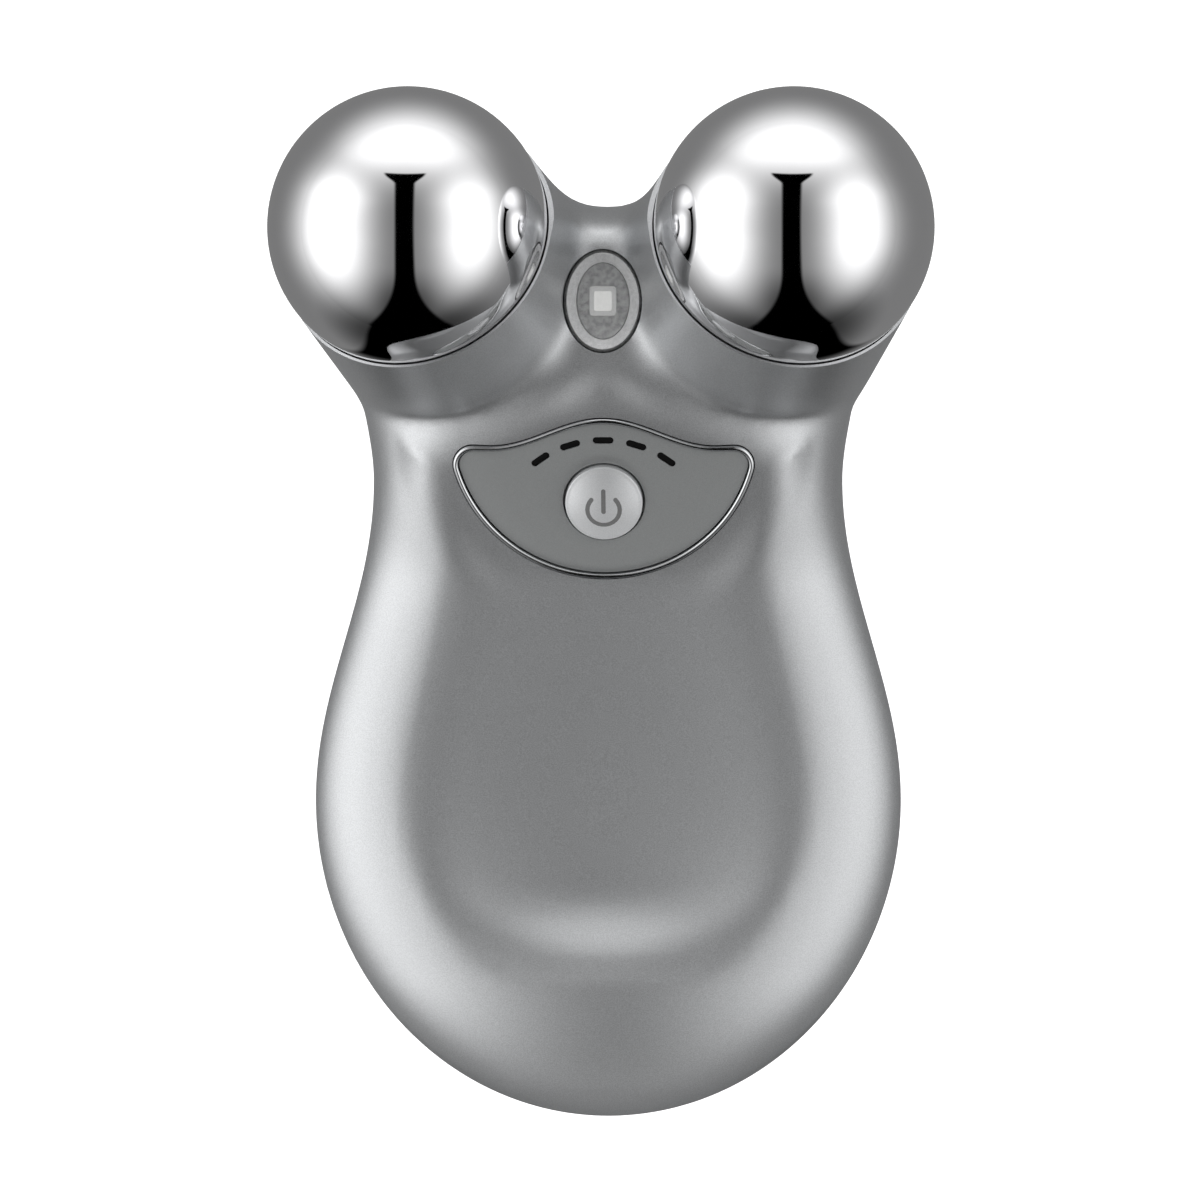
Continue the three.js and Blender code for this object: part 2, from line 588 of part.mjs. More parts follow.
function powerButton() {
  const sag = BUTTON_RISE - BUTTON_EDGE_RISE;
  const domeRadius = (BUTTON_RADIUS ** 2 + sag ** 2) / (2 * sag);
  const edge = Math.asin(BUTTON_RADIUS / domeRadius) / DEGREE;
  const dome = arc(0, BUTTON_RISE - domeRadius, domeRadius, 90 - edge, 90, 4);
  dome[4][0] = 0;
  return solidOf(turned([
    [0, STEM_BOTTOM], [STEM_RADIUS, STEM_BOTTOM], [STEM_RADIUS, FLANGE_BOTTOM],
    [FLANGE_RADIUS, FLANGE_BOTTOM], [FLANGE_RADIUS, FLANGE_TOP], [BUTTON_RADIUS, FLANGE_TOP],
    ...dome,
  ]).translate(0, BUTTON_Y, 0));
}

function panelPlate() {
  const plate = solidOf(raised(panelOutline(-BEZEL_WIDTH - SLOT_GAP), PLATE_BOTTOM, -PLATE_RECESS));
  const hole = rod(BUTTON_RADIUS + RUNNING_GAP, PLATE_BOTTOM - 1, 1, 0, BUTTON_Y, 24);
  return cut(plate, solidOf(hole), allIndicators(indicatorBar(SLOT_GAP, PLATE_BOTTOM - 1, 1)));
}

function panelBezel() {
  const [bottom, top] = [RECESS_BOTTOM + GAP, BEZEL_RISE];
  const ring = solidOf(raised(panelOutline(0), bottom, top));
  return cut(ring, solidOf(raised(panelOutline(-BEZEL_WIDTH), bottom - 1, top + 1)));
}

function lightGuide() {
  const bars = allIndicators(indicatorBar(0, GUIDE_TOP - 0.1, -PLATE_RECESS));
  const prongs = allIndicators(rod(PRONG_RADIUS, PRONG_BOTTOM, GUIDE_BOTTOM + 0.1, 0, 0, 6));
  return joined(solidOf(guideBase(0, GUIDE_BOTTOM, GUIDE_TOP)), bars, prongs);
}

function panelFloor() {
  const pad = atPanel(raised(panelOutline(PAD_MARGIN), FLOOR_BOTTOM, 0));
  const posts = mirrored([PANEL_POST_X, 0]).map(([x, y]) => {
    return atPanel(rod(POST_RADIUS, PANEL_BOARD_TOP + GAP, FLOOR_BOTTOM + 0.5, x, y, 8));
  });
  return joined(pad, posts);
}

function panelCuts() {
  const prongHole = rod(PRONG_RADIUS + GAP, FLOOR_BOTTOM - 1, GUIDE_BOTTOM + 1, 0, 0, 8);
  const postHole = ([x, y]) => rod(BOARD_HOLE_RADIUS, PANEL_BOARD_TOP - 1, FLOOR_BOTTOM, x, y, 8);
  return [
    raised(panelOutline(GAP), RECESS_BOTTOM, 5),
    rod(FLANGE_RADIUS + GAP, FLANGE_WELL_BOTTOM, 0, 0, BUTTON_Y),
    rod(STEM_RADIUS + RUNNING_GAP, FLOOR_BOTTOM - 1, 0, 0, BUTTON_Y),
    guideBase(GAP, GUIDE_BOTTOM - GAP, 0),
    ...Array.from({ length: INDICATORS }, (_, i) => atIndicator(i, prongHole)),
    ...mirrored([PANEL_POST_X, 0]).map(postHole),
  ].map(atPanel);
}

function panelBoard() {
  const outline = roundedBox(PANEL_BOARD_WIDTH, PANEL_BOARD_LENGTH, 1.5);
  const board = solidOf(raised(outline, PANEL_BOARD_BOTTOM, PANEL_BOARD_TOP));
  const holes = mirrored([PANEL_POST_X, 0]).map(([x, y]) => {
    return solidOf(rod(BOARD_HOLE_RADIUS, PANEL_BOARD_BOTTOM - 1, PANEL_BOARD_TOP + 1, x, y, 8));
  });
  return cut(board, holes);
}

function boardScrew(x, y, headSide, length) {
  const [z0, z1] = headSide < 0 ? [0, length] : [-length, 0];
  const head = rod(BOARD_SCREW_HEAD, Math.min(0, headSide), Math.max(0, headSide), x, y, 10);
  return joined(solidOf(rod(BOARD_SCREW_RADIUS, z0, z1, x, y, 6)), solidOf(head));
}

function addPanelParts() {
  const half = SWITCH_SIZE / 2;
  const switchBlock = box(-half, half, BUTTON_Y - half, BUTTON_Y + half, SWITCH_BOTTOM, SWITCH_TOP);
  const plungerWell = PLUNGER_BOTTOM - BUTTON_TRAVEL - GAP;
  const well = rod(PLUNGER_RADIUS + RUNNING_GAP, plungerWell, 0, 0, BUTTON_Y);
  const plunger = rod(PLUNGER_RADIUS, PLUNGER_BOTTOM, PLUNGER_TOP, 0, BUTTON_Y);
  place(panel, 'panel_bezel', 'trimChrome', panelBezel());
  place(panel, 'panel_plate', 'satinPanel', panelPlate());
  place(panel, 'power_button', 'satinButton', powerButton());
  place(panel, 'light_guide', 'darkWindow', lightGuide());
  place(panel, 'switch_body', 'blackPlastic', cut(solidOf(switchBlock), solidOf(well)));
  place(panel, 'switch_plunger', 'whitePlastic', solidOf(plunger));
  place(panel, 'panel_board', 'boardGreen', panelBoard());
  const led = box(-0.8, 0.8, -0.4, 0.4, PANEL_BOARD_TOP + GAP, PRONG_BOTTOM - GAP);
  allIndicators(led).forEach((solid, i) => place(panel, `indicator_led_${i + 1}`, 'chipYellow', solid));
  mirrored([PANEL_POST_X, 0]).forEach(([x, y], i) => {
    const screw = boardScrew(x, y, -THIN_WALL, BOARD_SCREW_LENGTH - THIN_WALL).translate([0, 0, PANEL_BOARD_BOTTOM - GAP]);
    place(panel, `panel_board_screw_${i + 1}`, 'steel', screw);
  });
}

// Lamp window: a clear cup upside down over a small board, in a well of the front cover

const LAMP_BOARD_TOP = -LENS_THICKNESS - GAP;
const LAMP_BOARD_BOTTOM = LAMP_BOARD_TOP - BOARD_THICKNESS;
const LAMP_WELL_BOTTOM = LAMP_BOARD_BOTTOM - GAP;

function lampWell() {
  const [w, l] = [LAMP_HALF_WIDTH + GAP + THIN_WALL, LAMP_HALF_LENGTH + GAP + THIN_WALL];
  return atLamp(raised(oval(w, l), LAMP_WELL_BOTTOM - THIN_WALL, 0));
}

function lampCuts() {
  const bore = raised(oval(LAMP_HALF_WIDTH + GAP, LAMP_HALF_LENGTH + GAP), LAMP_WELL_BOTTOM, 5);
  return [bore, rod(2 * LEAD_RADIUS, LAMP_WELL_BOTTOM - 2, 0, 0, 0, 12)].map(atLamp);
}

function addLampParts() {
  const outer = solidOf(raised(oval(LAMP_HALF_WIDTH, LAMP_HALF_LENGTH), -LENS_THICKNESS, 0));
  const hollow = oval(LENS_INNER_HALF_WIDTH, LENS_INNER_HALF_LENGTH, 18);
  const board = raised(oval(LAMP_HALF_WIDTH, LAMP_HALF_LENGTH), LAMP_BOARD_BOTTOM, LAMP_BOARD_TOP);
  const [w, l] = [CHIP_WIDTH / 2, CHIP_LENGTH / 2];
  const chipBottom = LAMP_BOARD_TOP + GAP;
  const chip = box(-w, w, -l, l, chipBottom, chipBottom + CHIP_HEIGHT);
  const lens = cut(outer, solidOf(raised(hollow, -LENS_THICKNESS - 1, -LENS_SKIN)));
  place(lamp, 'lamp_lens', 'clearPlastic', lens);
  place(lamp, 'lamp_board', 'whitePlastic', solidOf(board));
  place(lamp, 'lamp_led', 'chipYellow', solidOf(chip));
}

// Main board, battery and socket in the rear cover

const BOARD_TOP = BOARD_Z + BOARD_THICKNESS;
const PARTS_ON_BOARD = BOARD_TOP + GAP;
const PARTS_UNDER_BOARD = BOARD_Z - GAP;
const posts = POSTS_Y.flatMap((y) => mirrored([POST_X, y]));
const housingScrews = HOUSING_SCREWS.flatMap(mirrored);

function mainBoard() {
  const length = BOARD_HIGH_Y - BOARD_LOW_Y;
  const middle = (BOARD_HIGH_Y + BOARD_LOW_Y) / 2;
  const outline = roundedBox(2 * BOARD_HALF_WIDTH, length, BOARD_CORNER, 0, middle);
  const board = solidOf(raised(outline, BOARD_Z, BOARD_TOP));
  const holes = posts.map(([x, y]) => rod(BOARD_HOLE_RADIUS, BOARD_Z - 1, BOARD_TOP + 1, x, y, 8));
  return cut(board, holes.map((hole) => solidOf(hole)));
}

function chargingSocket() {
  const [half, nozzleEnd] = [SOCKET_WIDTH / 2, SOCKET_SINK - HALF_LENGTH];
  const bodyEnd = SOCKET_BODY_Y + SOCKET_LENGTH;
  const blockBottom = SOCKET_Z - SOCKET_NOZZLE_RADIUS - THIN_WALL / 2;
  const block = box(-half, half, SOCKET_BODY_Y, bodyEnd, blockBottom, PARTS_UNDER_BOARD);
  const along = (radius, y0, y1) => {
    return solidOf(rod(radius, y0, y1, 0, 0, 18).rotateX(-Math.PI / 2).translate(0, 0, SOCKET_Z));
  };
  const sleeve = along(SOCKET_NOZZLE_RADIUS, nozzleEnd, SOCKET_BODY_Y + 1);
  const bore = along(SOCKET_BORE_RADIUS, nozzleEnd - 1, bodyEnd - THIN_WALL);
  const pin = along(SOCKET_PIN_RADIUS, nozzleEnd + 1, bodyEnd - THIN_WALL / 2);
  return joined(cut(joined(solidOf(block), sleeve), bore), pin);
}

function socketHole() {
  const hole = rod(SOCKET_NOZZLE_RADIUS + GAP, -HALF_LENGTH - 1, SOCKET_BODY_Y, 0, 0, 20);
  return solidOf(hole.rotateX(-Math.PI / 2).translate(0, 0, SOCKET_Z));
}

function addElectronics() {
  const cellBottom = CELL_PAD_Z + CELL_PAD;
  const cellOutline = roundedBox(CELL_WIDTH, CELL_LENGTH, 1.5, 0, CELL_Y);
  const padOutline = roundedBox(CELL_WIDTH - 4, CELL_LENGTH - 4, 1, 0, CELL_Y);
  const cellTop = CELL_Y + CELL_LENGTH / 2;
  place(assembly, 'main_board', 'boardGreen', mainBoard());
  place(assembly, 'battery_cell', 'cellFoil',
    solidOf(raised(cellOutline, cellBottom + GAP, cellBottom + GAP + CELL_THICKNESS)));
  place(assembly, 'battery_pad', 'foam', solidOf(raised(padOutline, CELL_PAD_Z, cellBottom)));
  const connectorY = cellTop + CONNECTOR.step;
  const connector = box(-CONNECTOR.width / 2, CONNECTOR.width / 2, connectorY,
    connectorY + CONNECTOR.length, PARTS_UNDER_BOARD - CONNECTOR.height, PARTS_UNDER_BOARD);
  place(assembly, 'battery_connector', 'whitePlastic', solidOf(connector));
  const cellMiddle = cellBottom + GAP + CELL_THICKNESS / 2;
  const connectorMiddle = PARTS_UNDER_BOARD - CONNECTOR.height / 2;
  place(assembly, 'battery_lead', 'redLead', solidOf(lead([
    [0, cellTop + GAP, cellMiddle], [0, cellTop + CONNECTOR.step * 0.4, cellMiddle + LEAD_RADIUS],
    [0, cellTop + CONNECTOR.step * 0.6, connectorMiddle - 2 * LEAD_RADIUS],
    [0, connectorY - GAP, connectorMiddle],
  ])));
  const [half, deck] = [CONTROLLER.size / 2, PARTS_ON_BOARD];
  const controller = box(-half, half, -half, half, deck, deck + CONTROLLER.height);
  place(assembly, 'microcontroller', 'blackPlastic', solidOf(controller.translate(0, CONTROLLER.y, 0)));
  const inductor = rod(INDUCTOR.radius, deck, deck + INDUCTOR.height, INDUCTOR.x, INDUCTOR.y);
  place(assembly, 'boost_inductor', 'blackPlastic', solidOf(inductor));
  const buzzerTop = deck + BUZZER.height;
  const buzzer = solidOf(rod(BUZZER.radius, deck, buzzerTop, BUZZER.x, BUZZER.y, 18));
  const mouth = rod(BUZZER.mouth, buzzerTop - THIN_WALL, buzzerTop + 1, BUZZER.x, BUZZER.y, 10);
  place(assembly, 'buzzer', 'blackPlastic', cut(buzzer, solidOf(mouth)));
  place(assembly, 'charging_socket', 'blackPlastic', chargingSocket());
  posts.forEach(([x, y], i) => {
    const screw = boardScrew(x, y, THIN_WALL, BOARD_SCREW_LENGTH).translate([0, 0, BOARD_TOP + GAP]);
    place(assembly, `board_screw_${i + 1}`, 'steel', screw);
  });
}

// A lead's route: off its start, down towards the board, and level onto its solder pad
function leadRoute(start, padX, radius) {
  const pad = new THREE.Vector3(padX, BOARD_HIGH_Y - 1, PARTS_ON_BOARD + radius);
  const level = pad.clone().add(new THREE.Vector3(0, 6 * radius, radius));
  const middle = start.clone().lerp(level, 0.6);
  middle.z -= radius;
  return [start, middle, level, pad].map((point) => point.toArray());
}

function addLeads() {
  Object.keys(SIDES).forEach((side) => {
    const angle = inward(side);
    const reach = TAB_REACH - 1;
    const under = TAB_BOTTOM - GAP - LEAD_RADIUS;
    const onTab = new THREE.Vector3(reach * Math.cos(angle), reach * Math.sin(angle), under);
    const start = collars[side].localToWorld(onTab);
    const route = leadRoute(start, SIDES[side] * SPHERE_LEAD_X, LEAD_RADIUS);
    place(assembly, `${side}_sphere_lead`, 'redLead', solidOf(lead(route)));
  });
  const underLamp = new THREE.Vector3(0, LAMP_Y, LAMP_Z + LAMP_BOARD_BOTTOM - GAP);
  const below = underLamp.clone().add(new THREE.Vector3(0, 0, -LAMP_LEAD_DROP));
  const lampRoute = [underLamp.toArray(), ...leadRoute(below, LAMP_LEAD_X, LAMP_LEAD_RADIUS)];
  place(assembly, 'lamp_lead', 'redLead', solidOf(lead(lampRoute, LAMP_LEAD_RADIUS)));

  const [w, h] = [RIBBON_WIDTH / 2, RIBBON_THICKNESS / 2];
  const top = panel.localToWorld(new THREE.Vector3(0, 1, PANEL_BOARD_BOTTOM - GAP - h));
  const ribbonPath = new THREE.CatmullRomCurve3([
    top, new THREE.Vector3(0, top.y + 0.7, (top.z + PARTS_ON_BOARD) / 2 + h),
    new THREE.Vector3(0, top.y - 0.6, PARTS_ON_BOARD + h),
  ]);
  const strip = shapeOf([[-w, -h], [w, -h], [w, h], [-w, h]]);
  const ribbon = new THREE.ExtrudeGeometry(strip, { steps: 10, extrudePath: ribbonPath });
  place(assembly, 'board_ribbon', 'blackPlastic', solidOf(ribbon));
}

function addHousingScrews(body) {
  housingScrews.forEach(([x, y], i) => {
    const headBottom = SCREW_SEAT_Z - GAP - SCREW_HEAD_HEIGHT;
    const head = rod(SCREW_HEAD_RADIUS, headBottom, SCREW_SEAT_Z - GAP, x, y, 12);
    const shank = rod(SCREW_RADIUS, SCREW_SEAT_Z - 1, SCREW_TOP_Z, x, y, 8);
    place(assembly, `housing_screw_${i + 1}`, 'steel', joined(solidOf(head), solidOf(shank)));
    const plug = solidOf(rod(SCREW_HEAD_RADIUS, PARTING_Z - BACK_DEPTH, headBottom - GAP, x, y, 14));
    place(assembly, `screw_plug_${i + 1}`, 'silverPaint', plug.intersect(body));
  });
}

// Covers: one shell, parted at PARTING_Z, with the collars moulded into the front cover

const FAR = 200;
const aboveZ = (z) => solidOf(box(-FAR, FAR, -FAR, FAR, z, FAR));
const belowZ = (z) => solidOf(box(-FAR, FAR, -FAR, FAR, -FAR, z));

function tongueRing(outerInset, innerInset, top, end) {
  const ring = cut(bodySkin(outerInset, 14, 18), bodySkin(innerInset, 14, 18));
  return ring.intersect(solidOf(box(-FAR, FAR, -FAR, end, PARTING_Z - GAP, PARTING_Z + top)));
}

function addCovers() {
  const body = bodySkin(0, 25, 28);
  const whole = cut(joined(body, eachCollar(collarBlock(0)), panelFloor(), lampWell()), belowZ(0));
  const bosses = housingScrews.map(([x, y]) => solidOf(rod(SCREW_BOSS_RADIUS, -1, FAR, x, y, 10)));
  const boardPosts = posts.map(([x, y]) => solidOf(rod(POST_RADIUS, -1, BOARD_Z - GAP, x, y, 8)));
  const bowls = eachCollar(ball(SEAT_BACK, 8, 16));
  const kept = [panelFloor(), lampWell(), ...bowls, ...bosses, ...boardPosts];
  const hollow = cut(joined(bodySkin(WALL, 14, 18), eachCollar(collarBlock(WALL, 12))), kept);
  const shell = cut(whole, hollow);
  const tongueEnd = BRIDGE_END_Y - BRIDGE_ROUNDING;
  const [inner, outer] = [WALL - GAP / 3, WALL - TONGUE_THICKNESS];
  const tongue = tongueRing(outer, inner, TONGUE_HEIGHT, tongueEnd);
  const groove = tongueRing(outer - GAP, WALL + GAP, TONGUE_HEIGHT + GAP, tongueEnd + GAP);

  const pilots = housingScrews.map(([x, y]) => rod(SCREW_RADIUS + GAP, 0, SCREW_TOP_Z + GAP, x, y, 8));
  const seats = eachCollar(ball(SEAT_RADIUS, 9, 24));
  const sealGrooves = eachCollar(seal((SEAL_THICKNESS / 2 + GAP) * Math.SQRT2, 4, 16));
  const screwHoles = eachCollar(rod(SCREW_HOLE_RADIUS, -SEAT_BACK - 1, -SEAT_RADIUS + 2, 0, 0, 8));
  const front = cut(
    shell.intersect(aboveZ(PARTING_Z + GAP / 2)),
    seats, sealGrooves, screwHoles, panelCuts(), lampCuts(), groove,
    pilots.map((hole) => solidOf(hole)),
  );

  const recessRadius = SCREW_HEAD_RADIUS + GAP;
  const recesses = housingScrews.map(([x, y]) => rod(recessRadius, -1, SCREW_SEAT_Z, x, y, 14));
  const postHoles = posts.map(([x, y]) => rod(BOARD_HOLE_RADIUS, BOARD_Z - 4, BOARD_Z, x, y, 6));
  const rear = cut(
    joined(shell.intersect(belowZ(PARTING_Z - GAP / 2)), tongue),
    socketHole(), [...recesses, ...pilots, ...postHoles].map((hole) => solidOf(hole)),
  );
  place(assembly, 'front_cover', 'silverPaint', front);
  place(assembly, 'rear_cover', 'silverPaint', rear);
  addHousingScrews(body);
}

addCovers();
Object.keys(SIDES).forEach(addCollarParts);
addPanelParts();
addLampParts();
addElectronics();
addLeads();

export default assembly;
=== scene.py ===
import json
import bmesh
import bpy
import numpy as np
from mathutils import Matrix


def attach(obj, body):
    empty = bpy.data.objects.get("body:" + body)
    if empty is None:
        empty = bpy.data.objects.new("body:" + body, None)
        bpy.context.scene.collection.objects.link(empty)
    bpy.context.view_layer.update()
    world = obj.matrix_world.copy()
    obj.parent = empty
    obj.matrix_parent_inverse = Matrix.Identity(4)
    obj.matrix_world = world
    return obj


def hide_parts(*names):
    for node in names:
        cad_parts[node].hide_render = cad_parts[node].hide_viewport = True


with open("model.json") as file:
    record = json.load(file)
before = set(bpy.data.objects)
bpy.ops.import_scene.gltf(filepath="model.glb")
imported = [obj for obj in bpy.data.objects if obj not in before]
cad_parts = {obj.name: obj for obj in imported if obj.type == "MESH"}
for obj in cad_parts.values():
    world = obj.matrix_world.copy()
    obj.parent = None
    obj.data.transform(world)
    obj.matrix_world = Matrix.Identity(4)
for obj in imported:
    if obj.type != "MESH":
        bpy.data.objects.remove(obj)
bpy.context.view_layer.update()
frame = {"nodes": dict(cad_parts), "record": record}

# The silver housing is two moulded halves of ABS in a satin metallic paint. Its body is a bulb
# with a waist, and two tilted cups grow out of its head on soft fillets. The halves meet in a
# fine groove all round, and hold everything else between them.
MM = 0.001
END_Y, BULB_Y, WAIST_Y, HEAD_Y, BRIDGE_Y = -54.1, -20.9, 12.7, 26.0, 41.3
DISH_Y, BEVEL_Y = -20.0, 37.3
PARTING_Z, PARTING_GAP = 13.0, 0.2
CUP_LIP_DEPTH, CUP_RADIUS, SEAT_RADIUS = 3.4, 14.7, 14.82
SPHERE_RADIUS = 14.7
NUDGE = 0.02
SIDES = {"left": -1, "right": 1}
CUP_AXIS = {side: np.array([sign * 0.28082, 0.44940, 0.84805]) for side, sign in SIDES.items()}
SPHERE_AT = {side: np.array([sign * 20.2, 39.4, 30.6]) for side, sign in SIDES.items()}
PANEL_AT, PANEL_TILT, PANEL_BEND = np.array([0.0, 10.8, 23.2]), np.radians(20), 0.002
PANEL_ARC_RADIUS, PANEL_ARC_V = 16.2, 7.4
LAMP_AT, LAMP_HALF = np.array([0.0, 31.6, 26.5]), np.array([4.05, 5.3])


def smooth(x, start, end):
    """0 before start, 1 after end, and 3t^2 - 2t^3 in between."""
    t = np.clip((x - start) / (end - start), 0, 1)
    return t * t * (3 - 2 * t)


def shrinking(distance, reach):
    """An ellipse's quarter: 1 until the distance is positive, then down to 0 at reach."""
    return np.maximum(1 - np.clip(distance / reach, 0, 1) ** 2, 1e-9) ** (1 / 2)


def panel_face(x, y):
    """Height of the panel: a plane, bent down a little towards its tips."""
    return PANEL_AT[2] + np.tan(PANEL_TILT) * (y - PANEL_AT[1]) - PANEL_BEND * x ** 2


def floor_level(x, y):
    """Height of the dish's floor along its middle, which turns into the panel's face."""
    ball, face = 19.5 + (y - DISH_Y) ** 2 / 840, panel_face(x, y)
    return (ball + face + np.hypot(ball - face, 0.3)) / 2 - 0.12


def front_rise(y):
    """Height of the body's front over the parting plane, along its middle: it rises towards the
    lower crest and towards the panel, and falls off in a bevel behind the lamp window."""
    past = y - BEVEL_Y
    bevel = 0.33 * (past + np.hypot(past, 0.8))
    return 9.4 + 1.0 * smooth(-y, 2, 38) + 3.8 * smooth(y, -2, 19) - bevel


def resting_front(x, y, width):
    """The body's front over the parting plane, before its ends are closed: a superellipse
    that grows fuller towards the panel."""
    fullness = 2.0 + 0.6 * smooth(y, 1, 13)
    across = np.clip(np.abs(x) / width, 0, 1)
    return front_rise(y) * (1 - across ** fullness) ** (1 / fullness), fullness


def dish_sink(x, y, width, resting):
    """How far the body's front is sunk into the dish. Across, its floor is a shallow parabola
    between the two sides of a teardrop outline. Along, it turns into the panel's face at the
    top, and rises gently to the body's crest at the lower end."""
    length, narrow, wider, bluntness = 21, 14.6, 5.4, 2.1
    along = y - DISH_Y
    low = np.clip(-along / length, 0, 1)
    half = narrow + wider * np.exp(-(np.maximum(along, 0) / 18) ** 2)
    half = np.maximum(half * (1 - low ** bluntness) ** (1 / bluntness), 0.01)
    middle = floor_level(0, y) - PARTING_Z
    middle = middle + (front_rise(y) - middle) * smooth(low, 0.45, 1.0)
    side, _ = resting_front(half, y, width)
    share = np.minimum(np.abs(x) / half, 1.6)
    floor = middle + (side - middle) * share ** 2 + 2 * np.maximum(share - 1, 0)
    near = np.maximum(2 - np.abs(resting - floor), 0) / 2
    sink = np.maximum(resting - floor, 0) + near ** 3 * 2 / 6 * smooth(low, 1.0, 0.85)
    return sink * smooth(y, 21, 14)


def panel_land(x, y):
    """1 on the flat land that the panel lies in, and 0 from some 6 mm outside its outline."""
    tips_v, swelling = 1.6, 7.4
    v = (y - PANEL_AT[1]) / np.cos(PANEL_TILT)
    below = np.hypot(x, v - PANEL_ARC_V) - PANEL_ARC_RADIUS
    above = v - tips_v - swelling * np.exp(-(x / swelling) ** 2)
    return 1 - smooth(np.maximum(below, above), 0.6, 6.0)


def body_level(x, y, z):
    """0 on the body without its cups and growing outwards: a stack of superellipses along Y,
    each with its own half width, front height and back height. The lower end and the back of
    the head close like an egg, and the head's front closes over a short round edge."""
    half_waist, bulb_swell, head_swell = 24.6, 6.15, 1.7
    back_depth, back_rise = 13.4, 4.5
    crest_drop, back_drop = 14.5, 20.2
    back_closing, closing_cut = 17.5, 14.7
    low = np.maximum((BULB_Y - y) / (BULB_Y - END_Y), 0)
    reach = back_closing - closing_cut * smooth(z, 9, 17)
    high = np.maximum((y - BRIDGE_Y + reach) / reach, 0)
    swing = (1 + np.cos(np.pi * np.clip((y - BULB_Y) / (WAIST_Y - BULB_Y), 0, 1))) / 2
    width = half_waist + bulb_swell * swing + head_swell * smooth(y, WAIST_Y, HEAD_Y)

    inside = np.maximum(y, END_Y + 0.02)
    egg = shrinking(BULB_Y - inside, BULB_Y - END_Y)
    front_end = shrinking(crest_drop + END_Y - inside, crest_drop) / egg
    back_end = shrinking(back_drop + END_Y - inside, back_drop) / egg
    front = front_rise(y) * front_end
    back = (back_depth - back_rise * smooth(y, 5, BRIDGE_Y)) * back_end

    resting, fullness = resting_front(x, y, width)
    sunk = resting - dish_sink(x, y, width, resting)
    land = floor_level(x, y) - PARTING_Z
    shift = sunk - resting + (land - sunk) * panel_land(x, y)
    up = z - PARTING_Z - shift * smooth(z, 14, 19)
    height = np.where(up > 0, np.maximum(front, 0.5), back)
    fullness = np.where(up > 0, fullness, 2.5)
    ring = (np.abs(x) / width) ** fullness + (np.abs(up) / height) ** fullness
    power = np.where(y < 0, 2.0, 2.2)
    return ring ** (power / fullness) + np.where(y < 0, low, high) ** power - 1


def filleted(a, b, reach):
    """The smaller of two distances, rounded off where they are within reach of each other."""
    near = np.maximum(reach - np.abs(a - b), 0) / reach
    return np.minimum(a, b) - near ** 3 * reach / 6


def body_distance(points):
    """The body's level over its own slope, which is a distance near the surface."""
    x, y, z = points[..., 0], points[..., 1], points[..., 2]
    level = body_level(x, y, z)
    slope = [(body_level(x + a, y + b, z + c) - level) / NUDGE for a, b, c in np.eye(3) * NUDGE]
    return level / np.maximum(np.sqrt(sum(s * s for s in slope)), 0.015)


def cup_distance(points, side):
    """Distance to one cup: a straight round wall on a domed back, rounded off towards the
    device's back. It runs on past the lip, and is cut off there with its seat."""
    offset = points - SPHERE_AT[side]
    along = offset @ CUP_AXIS[side]
    across = np.linalg.norm(offset - along[..., None] * CUP_AXIS[side], axis=-1)
    wall_end, dome_depth, lowest_z = -20.5, 7.5, 5.0
    wall = across - CUP_RADIUS
    dome = (np.hypot(across / CUP_RADIUS, (along - wall_end) / dome_depth) - 1) * CUP_RADIUS
    cup = -filleted(-np.where(along < wall_end, dome, wall), 2 - along, 4)
    return -filleted(-cup, points[..., 2] - lowest_z, 10)


def housing_distance(points):
    """Body and cups as one skin. The fillet is tight on the outer side of each cup and wide
    towards the bridge, and the back is cut flat where it rests."""
    distance = body_distance(points)
    lamp = np.hypot(points[..., 0] / 6.5, (points[..., 1] - LAMP_AT[1] + 1) / 8.5)
    for side, sign in SIDES.items():
        offset = points - SPHERE_AT[side]
        offset = offset - (offset @ CUP_AXIS[side])[..., None] * CUP_AXIS[side]
        inwards = -sign * offset[..., 0] / np.maximum(np.linalg.norm(offset, axis=-1), 1)
        reach = 1.2 + 5.1 * smooth(inwards, 0.4, 0.9) * (1 - 0.6 * np.exp(-lamp ** 4))
        distance = filleted(distance, cup_distance(points, side), reach)
    return -filleted(-distance, points[..., 2], 1.2)


